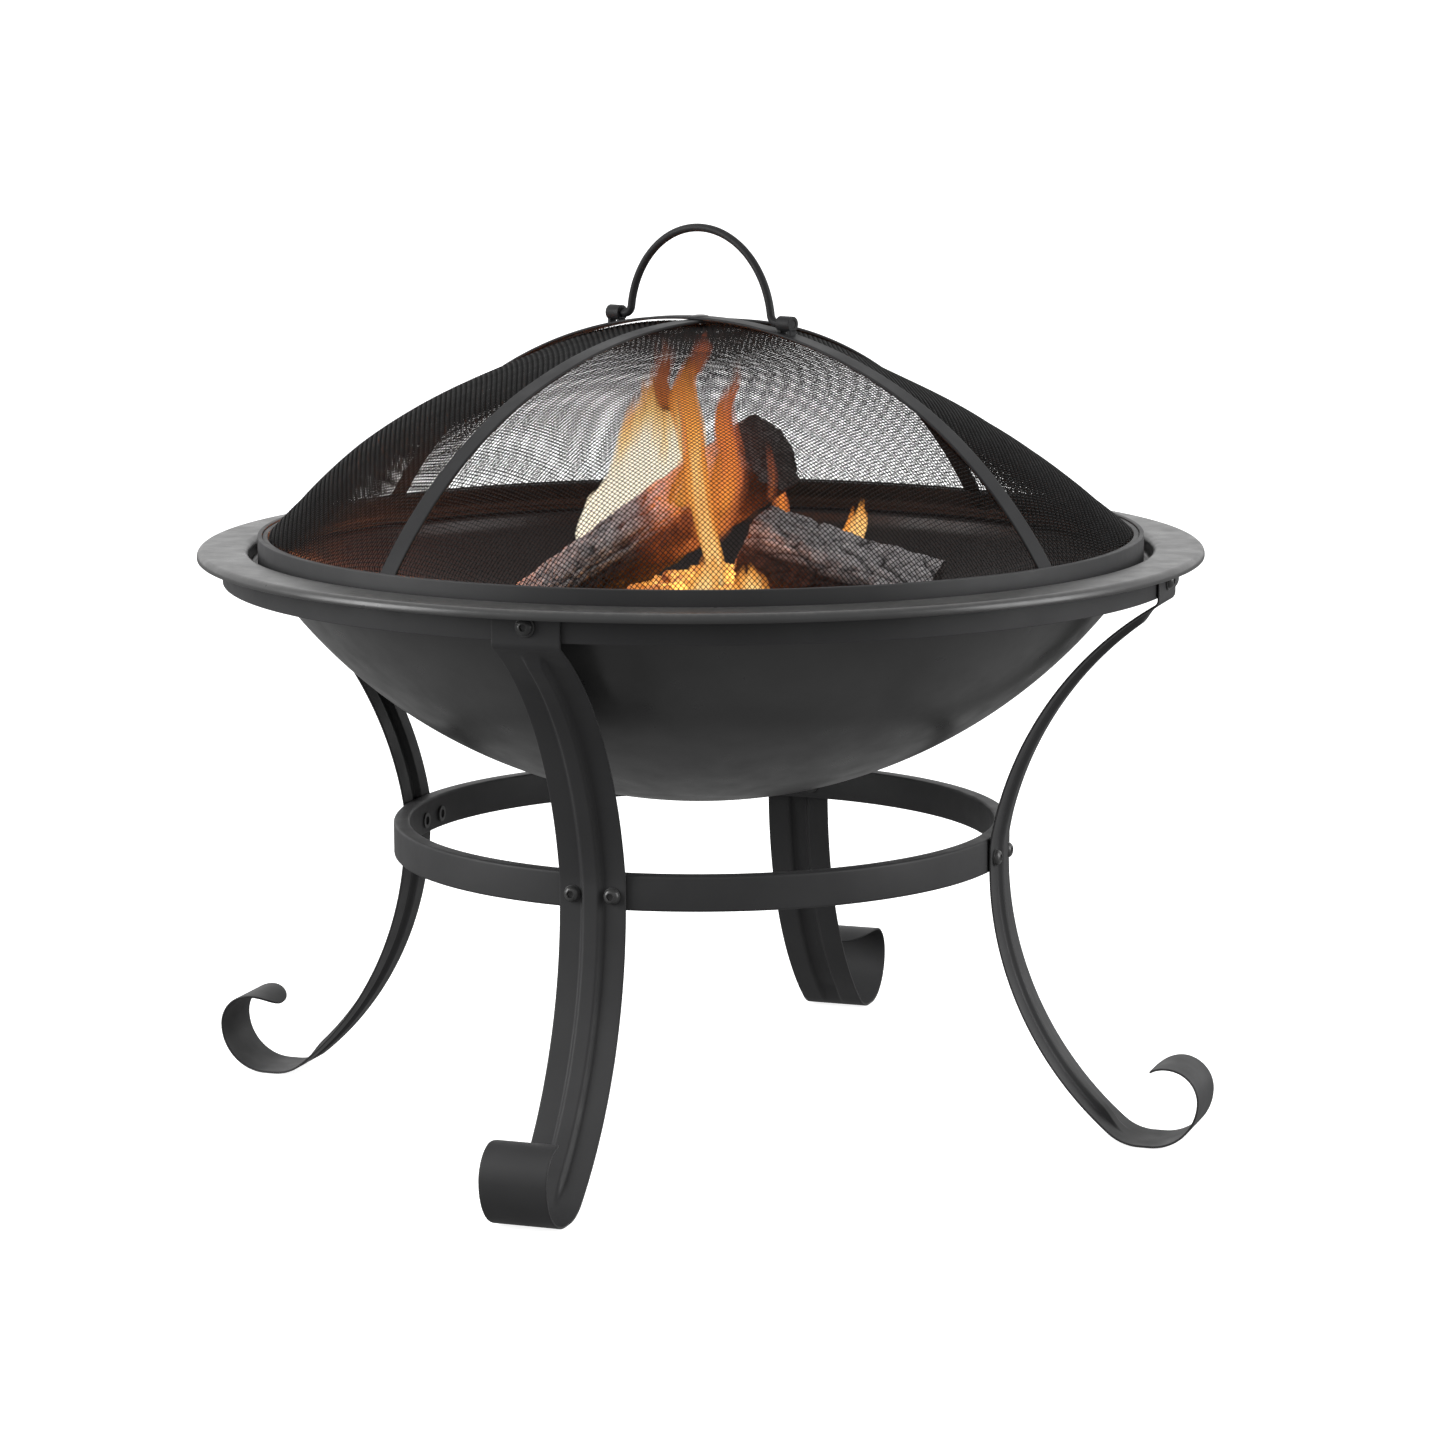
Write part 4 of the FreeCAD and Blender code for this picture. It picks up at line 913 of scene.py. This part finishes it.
def make_embers():
    """A heap of coals: a low mound with many lumps lying on it."""
    rng = np.random.default_rng(11)
    mound, warm, depth = ember_mound()
    parts, warms, depths = [mound], [warm], [depth]
    sphere, sphere_faces = unit_ball()
    for number in range(260):
        r = 92 * math.sqrt(rng.random())
        x, y = round_fire(r, 2 * math.pi * rng.random())
        z = mound_height(r) - 2.5
        grow = rng.uniform(3.0, 6.5)
        shape = rng.uniform(0.6, 1.25, 3) * grow
        tilt = Matrix.Rotation(rng.uniform(0, 6.28), 3, "Z") @ Matrix.Rotation(rng.uniform(-0.7, 0.7), 3, "X")
        shift = Vector((number, 0, 0))
        swell = [1 + 0.28 * noise.fractal(Vector(v) * 1.3 + shift, 1.0, 2.0, 3) for v in sphere]
        lumpy = sphere * np.array(swell)[:, None]
        blocky = np.sign(lumpy) * np.abs(lumpy) ** 0.8
        placed = (blocky * shape) @ np.array(tilt).T + [x, y, z]
        placed[:, 2] = np.maximum(placed[:, 2], MOUND_FOOT)
        parts.append((placed, sphere_faces))
        glow = max(0.0, 1.15 - (r / 78.0) ** 2) * rng.uniform(0.45, 1.0)
        raised = np.clip((placed[:, 2] - z) / shape[2], -1, 1)
        warms.append(glow * (0.95 - 0.35 * raised))
        depths.append(np.clip(0.55 + 0.5 * raised, 0, 1))
    piece = add_piece("ember_heap", *joined(parts), "firewood", COAL, ["ember_bed"], "embers", 60)
    set_values(piece, warm=np.concatenate(warms), depth=np.concatenate(depths))


def flame_strand(spine, offset, reach, radius, seed):
    """One strand of a flame: a thin spindle beside the spine that ends in a point at its own height."""
    sides = 14
    along_spine = np.linspace(0, 1, len(spine))
    fine = np.linspace(0, reach, 36)
    line = np.stack([np.interp(fine, along_spine, spine[:, k]) for k in range(3)], 1)
    half = np.interp(fine, along_spine, spine[:, 3])
    for _ in range(5):
        line[1:-1] = (line[:-2] + 2 * line[1:-1] + line[2:]) / 4
    drift = np.array([noise.noise(Vector((seed * 1.7, f * 2.6, 0.3))) for f in fine])
    depth = np.array([noise.noise(Vector((seed * 2.3, 5.0, f * 2.0))) for f in fine])
    line[:, 0] += half * (offset + 1.3 * drift * fine)
    line[:, 1] += 4.0 * depth
    share = fine / reach
    girth = radius * (0.6 + 1.1 * share) * np.clip(1 - share, 0, 1) ** 0.8
    girth = np.maximum(girth * np.clip(0.35 + share * 6, 0, 1), 0.05)
    points, faces = tube(line, girth, sides)
    middle = np.repeat(line, sides, 0)
    points = middle + (points - middle) * [1.0, 0.55, 1.0]
    return points, faces, np.repeat(fine, sides), np.repeat(share, sides)


def make_flames():
    """Tongues of fire, each a bundle of thin strands. Spine points are (x, y, z, half width), foot to tip."""
    flames = [
        # spine, strands, strand radius, heat at foot and tip, density
        ([(-66, 44, 316, 5), (-62, 44, 328, 7), (-57, 44, 340, 6), (-52, 44, 350, 3), (-50, 44, 363, 1)],
         11, 5.5, 1.35, 0.95, 1.3),
        ([(-44, 28, 330, 10), (-41, 27, 345, 12), (-36, 26, 360, 13), (-31, 24, 376, 14), (-28, 22, 392, 13),
          (-28, 20, 408, 10), (-27, 18, 424, 5)], 24, 9.0, 1.45, 0.50, 1.0),
        ([(-24, 20, 345, 6), (-17, 18, 362, 7), (-14, 16, 380, 7), (-16, 14, 400, 4), (-15, 14, 414, 2)],
         11, 6.5, 1.3, 0.55, 0.8),
        ([(11, -66, 306, 3), (7, -66, 322, 4), (2, -66, 340, 4.5), (-1, -66, 358, 5), (-3, -64, 376, 5),
          (-4, -60, 393, 5), (-9, -56, 411, 5.5), (-8, -50, 425, 5), (-5, -46, 441, 2)],
         15, 4.6, 0.92, 0.45, 0.8),
        ([(-4, -40, 372, 5), (-6, -42, 388, 6), (-10, -44, 404, 6.5), (-8, -44, 420, 6), (-4, -40, 434, 3)],
         13, 6.0, 1.05, 0.32, 0.75),
        ([(10, -62, 344, 4), (17, -64, 362, 5), (18, -64, 376, 5), (13, -62, 390, 5), (13, -58, 404, 5),
          (20, -54, 418, 6), (18, -48, 438, 3)], 14, 5.4, 0.55, 0.25, 0.55),
        ([(4, -62, 330, 8), (8, -64, 348, 11), (10, -64, 364, 12), (14, -64, 380, 9), (16, -62, 394, 4)],
         12, 7.0, 0.55, 0.38, 0.22),
        ([(-14, -44, 346, 7), (-9, -50, 358, 9), (-5, -56, 372, 9), (-3, -58, 386, 5)],
         12, 6.0, 0.62, 0.45, 0.30),
        ([(46, -8, 330, 3), (45, -10, 345, 3), (42, -12, 358, 3), (39, -14, 370, 1)],
         7, 3.4, 0.55, 0.30, 0.55),
        ([(38, -66, 352, 2), (39, -70, 366, 2.5), (37, -70, 380, 2), (35, -68, 392, 1)],
         4, 2.6, 0.35, 0.15, 0.22),
        ([(82, -22, 314, 5), (84, -22, 326, 6), (87, -22, 338, 4), (89, -22, 352, 1)],
         9, 4.6, 0.95, 0.60, 1.0),
        ([(-18, -30, 398, 3), (-22, -30, 414, 4), (-19, -30, 429, 5), (-21, -28, 443, 3)],
         9, 4.5, 0.42, 0.10, 0.22),
        ([(-5, -36, 418, 3), (0, -35, 428, 4), (3, -34, 436, 4), (2, -32, 444, 2)],
         8, 4.5, 0.30, 0.08, 0.25),
        ([(-4, -72, 296, 7), (0, -74, 306, 8), (5, -74, 316, 6), (8, -72, 328, 3)],
         10, 5.0, 1.0, 0.55, 0.6),
        ([(28, -76, 294, 9), (29, -76, 303, 9), (27, -76, 312, 7), (24, -74, 322, 3)],
         11, 5.0, 0.95, 0.5, 0.6),
    ]
    rng = np.random.default_rng(5)
    for number, (spine, strands, radius, hot_foot, hot_tip, dense) in enumerate(flames, start=1):
        spine = np.array(spine, float)
        made, heights, heats, clears = [], [], [], []
        for strand in range(strands):
            offset = -0.9 + 1.8 * (strand + rng.uniform(0.1, 0.9)) / strands
            reach = 1.0 - 0.42 * rng.random() * abs(offset) ** 0.7 - 0.06 * rng.random()
            points, faces, height, share = flame_strand(spine, offset, reach, radius * rng.uniform(0.6, 1.05),
                                                        number * 20 + strand)
            made.append((points, faces))
            hot = hot_foot + (hot_tip - hot_foot) * height ** 1.1 - 0.30 * abs(offset) ** 1.5
            heights.append(share)
            heats.append(hot)
            clears.append(np.full(len(points), dense * rng.uniform(0.7, 1.1)))
        piece = add_piece(f"flame_{number:02d}", *joined(made), "firewood", FLAME, (), None, None)
        set_values(piece, height=np.concatenate(heights), hot=np.concatenate(heats),
                   dense=np.concatenate(clears))
        piece.visible_shadow = False


# ---------------- CAD nodes that stay as they are
def finish_cad_nodes():
    for name in ("rim_nuts", "ring_rivet_nuts"):
        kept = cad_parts[name]
        kept.data.materials.clear()
        kept.data.materials.append(SCREW_COAT)


# ---------------- stage, light and camera
def split_by_eye(tree, unseen, seen):
    """One look for the camera and another for the light that falls on the object."""
    direct = node(tree, "LightPath").outputs["Is Camera Ray"]
    return node(tree, "MixShader", {0: direct, 1: unseen.outputs[0], 2: seen.outputs[0]}).outputs[0]


def make_stage():
    """A white floor and studio. The eye sees white, and what lights the steel is dimmer."""
    bpy.ops.mesh.primitive_plane_add(size=240, location=(0, 0, -0.0005))
    floor = bpy.context.object
    floor.name = "floor"
    material, tree = new_material("floor_look")
    matte = node(tree, "BsdfDiffuse", {"Color": (0.8, 0.8, 0.8, 1)})
    own = node(tree, "Emission", {"Color": (1, 1, 1, 1), "Strength": 0.86})
    pale = node(tree, "AddShader", {0: matte.outputs[0], 1: own.outputs[0]})
    dim = node(tree, "Emission", {"Color": (1, 1, 1, 1), "Strength": 0.30})
    node(tree, "OutputMaterial", {"Surface": split_by_eye(tree, dim, pale)})
    floor.data.materials.append(material)

    world = bpy.data.worlds.new("studio")
    bpy.context.scene.world = world
    world.use_nodes = True
    tree = world.node_tree
    tree.nodes.clear()
    way = node(tree, "TexCoord").outputs["Generated"]
    split = node(tree, "SeparateXYZ", {0: way}).outputs
    backward = remap(tree, split[1], -0.4, 0.9, 0.55, 1.05)
    upward = remap(tree, split[2], 0.0, 0.9, 1.0, 1.15)
    amount = maths(tree, "MULTIPLY", backward, upward)
    lighting = node(tree, "Background", {"Color": (1, 1, 1, 1), "Strength": amount})
    white = node(tree, "Background", {"Color": (1, 1, 1, 1), "Strength": 1.0})
    node(tree, "OutputWorld", {"Surface": split_by_eye(tree, lighting, white)})

    def soft_box(name, place, aim, width, height, power):
        light = bpy.data.lights.new(name, "AREA")
        light.shape = "RECTANGLE"
        light.size, light.size_y = width, height
        light.energy = power
        lamp = into_scene(name, light)
        lamp.location = place
        lamp.rotation_euler = (Vector(aim) - Vector(place)).to_track_quat("-Z", "Y").to_euler()

    soft_box("left_box", (-1.9, -0.5, 0.9), (0, 0, 0.25), 1.0, 1.4, 34)
    soft_box("right_box", (1.9, -0.5, 0.8), (0, 0, 0.25), 1.0, 1.4, 28)
    for name, place, power in (("fire_light_back", (-0.030, 0.040, 0.372), 0.20),
                               ("fire_light_left", (-0.175, 0.090, 0.330), 0.5),
                               ("fire_light_front", (0.006, -0.085, 0.322), 0.08)):
        fire = bpy.data.lights.new(name, "POINT")
        fire.energy, fire.color, fire.shadow_soft_size = power, (1.0, 0.26, 0.07), 0.02
        lamp = into_scene(name, fire)
        lamp.location = place
        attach(lamp, "firewood")


def make_camera():
    data = bpy.data.cameras.new("camera")
    data.sensor_width, data.lens = 36.0, 112.76
    data.clip_start, data.clip_end = 0.1, 400
    camera = into_scene("camera", data)
    pitch, yaw, roll = 0.1696, 0.0047, -0.0025
    forward = Vector((math.sin(yaw) * math.cos(pitch), math.cos(yaw) * math.cos(pitch), -math.sin(pitch)))
    right = Vector((math.cos(yaw), -math.sin(yaw), 0))
    up = right.cross(forward)
    across = right * math.cos(roll) + up * math.sin(roll)
    upright = up * math.cos(roll) - right * math.sin(roll)
    camera.matrix_world = Matrix([
        (across.x, upright.x, -forward.x, 0.0),
        (across.y, upright.y, -forward.y, -2.509),
        (across.z, upright.z, -forward.z, 0.6491),
        (0, 0, 0, 1)])
    bpy.context.scene.camera = camera
    view = bpy.context.scene.view_settings
    view.view_transform = "Standard"
    view.look = "None"


make_legs()
make_rings()
make_screws()
make_bowl()
make_hoops()
make_straps()
make_mesh_panels()
make_crown_rivet()
make_eyes()
make_handle()
make_grate()
make_firewood()
make_embers()
make_flames()
finish_cad_nodes()
make_stage()
make_camera()
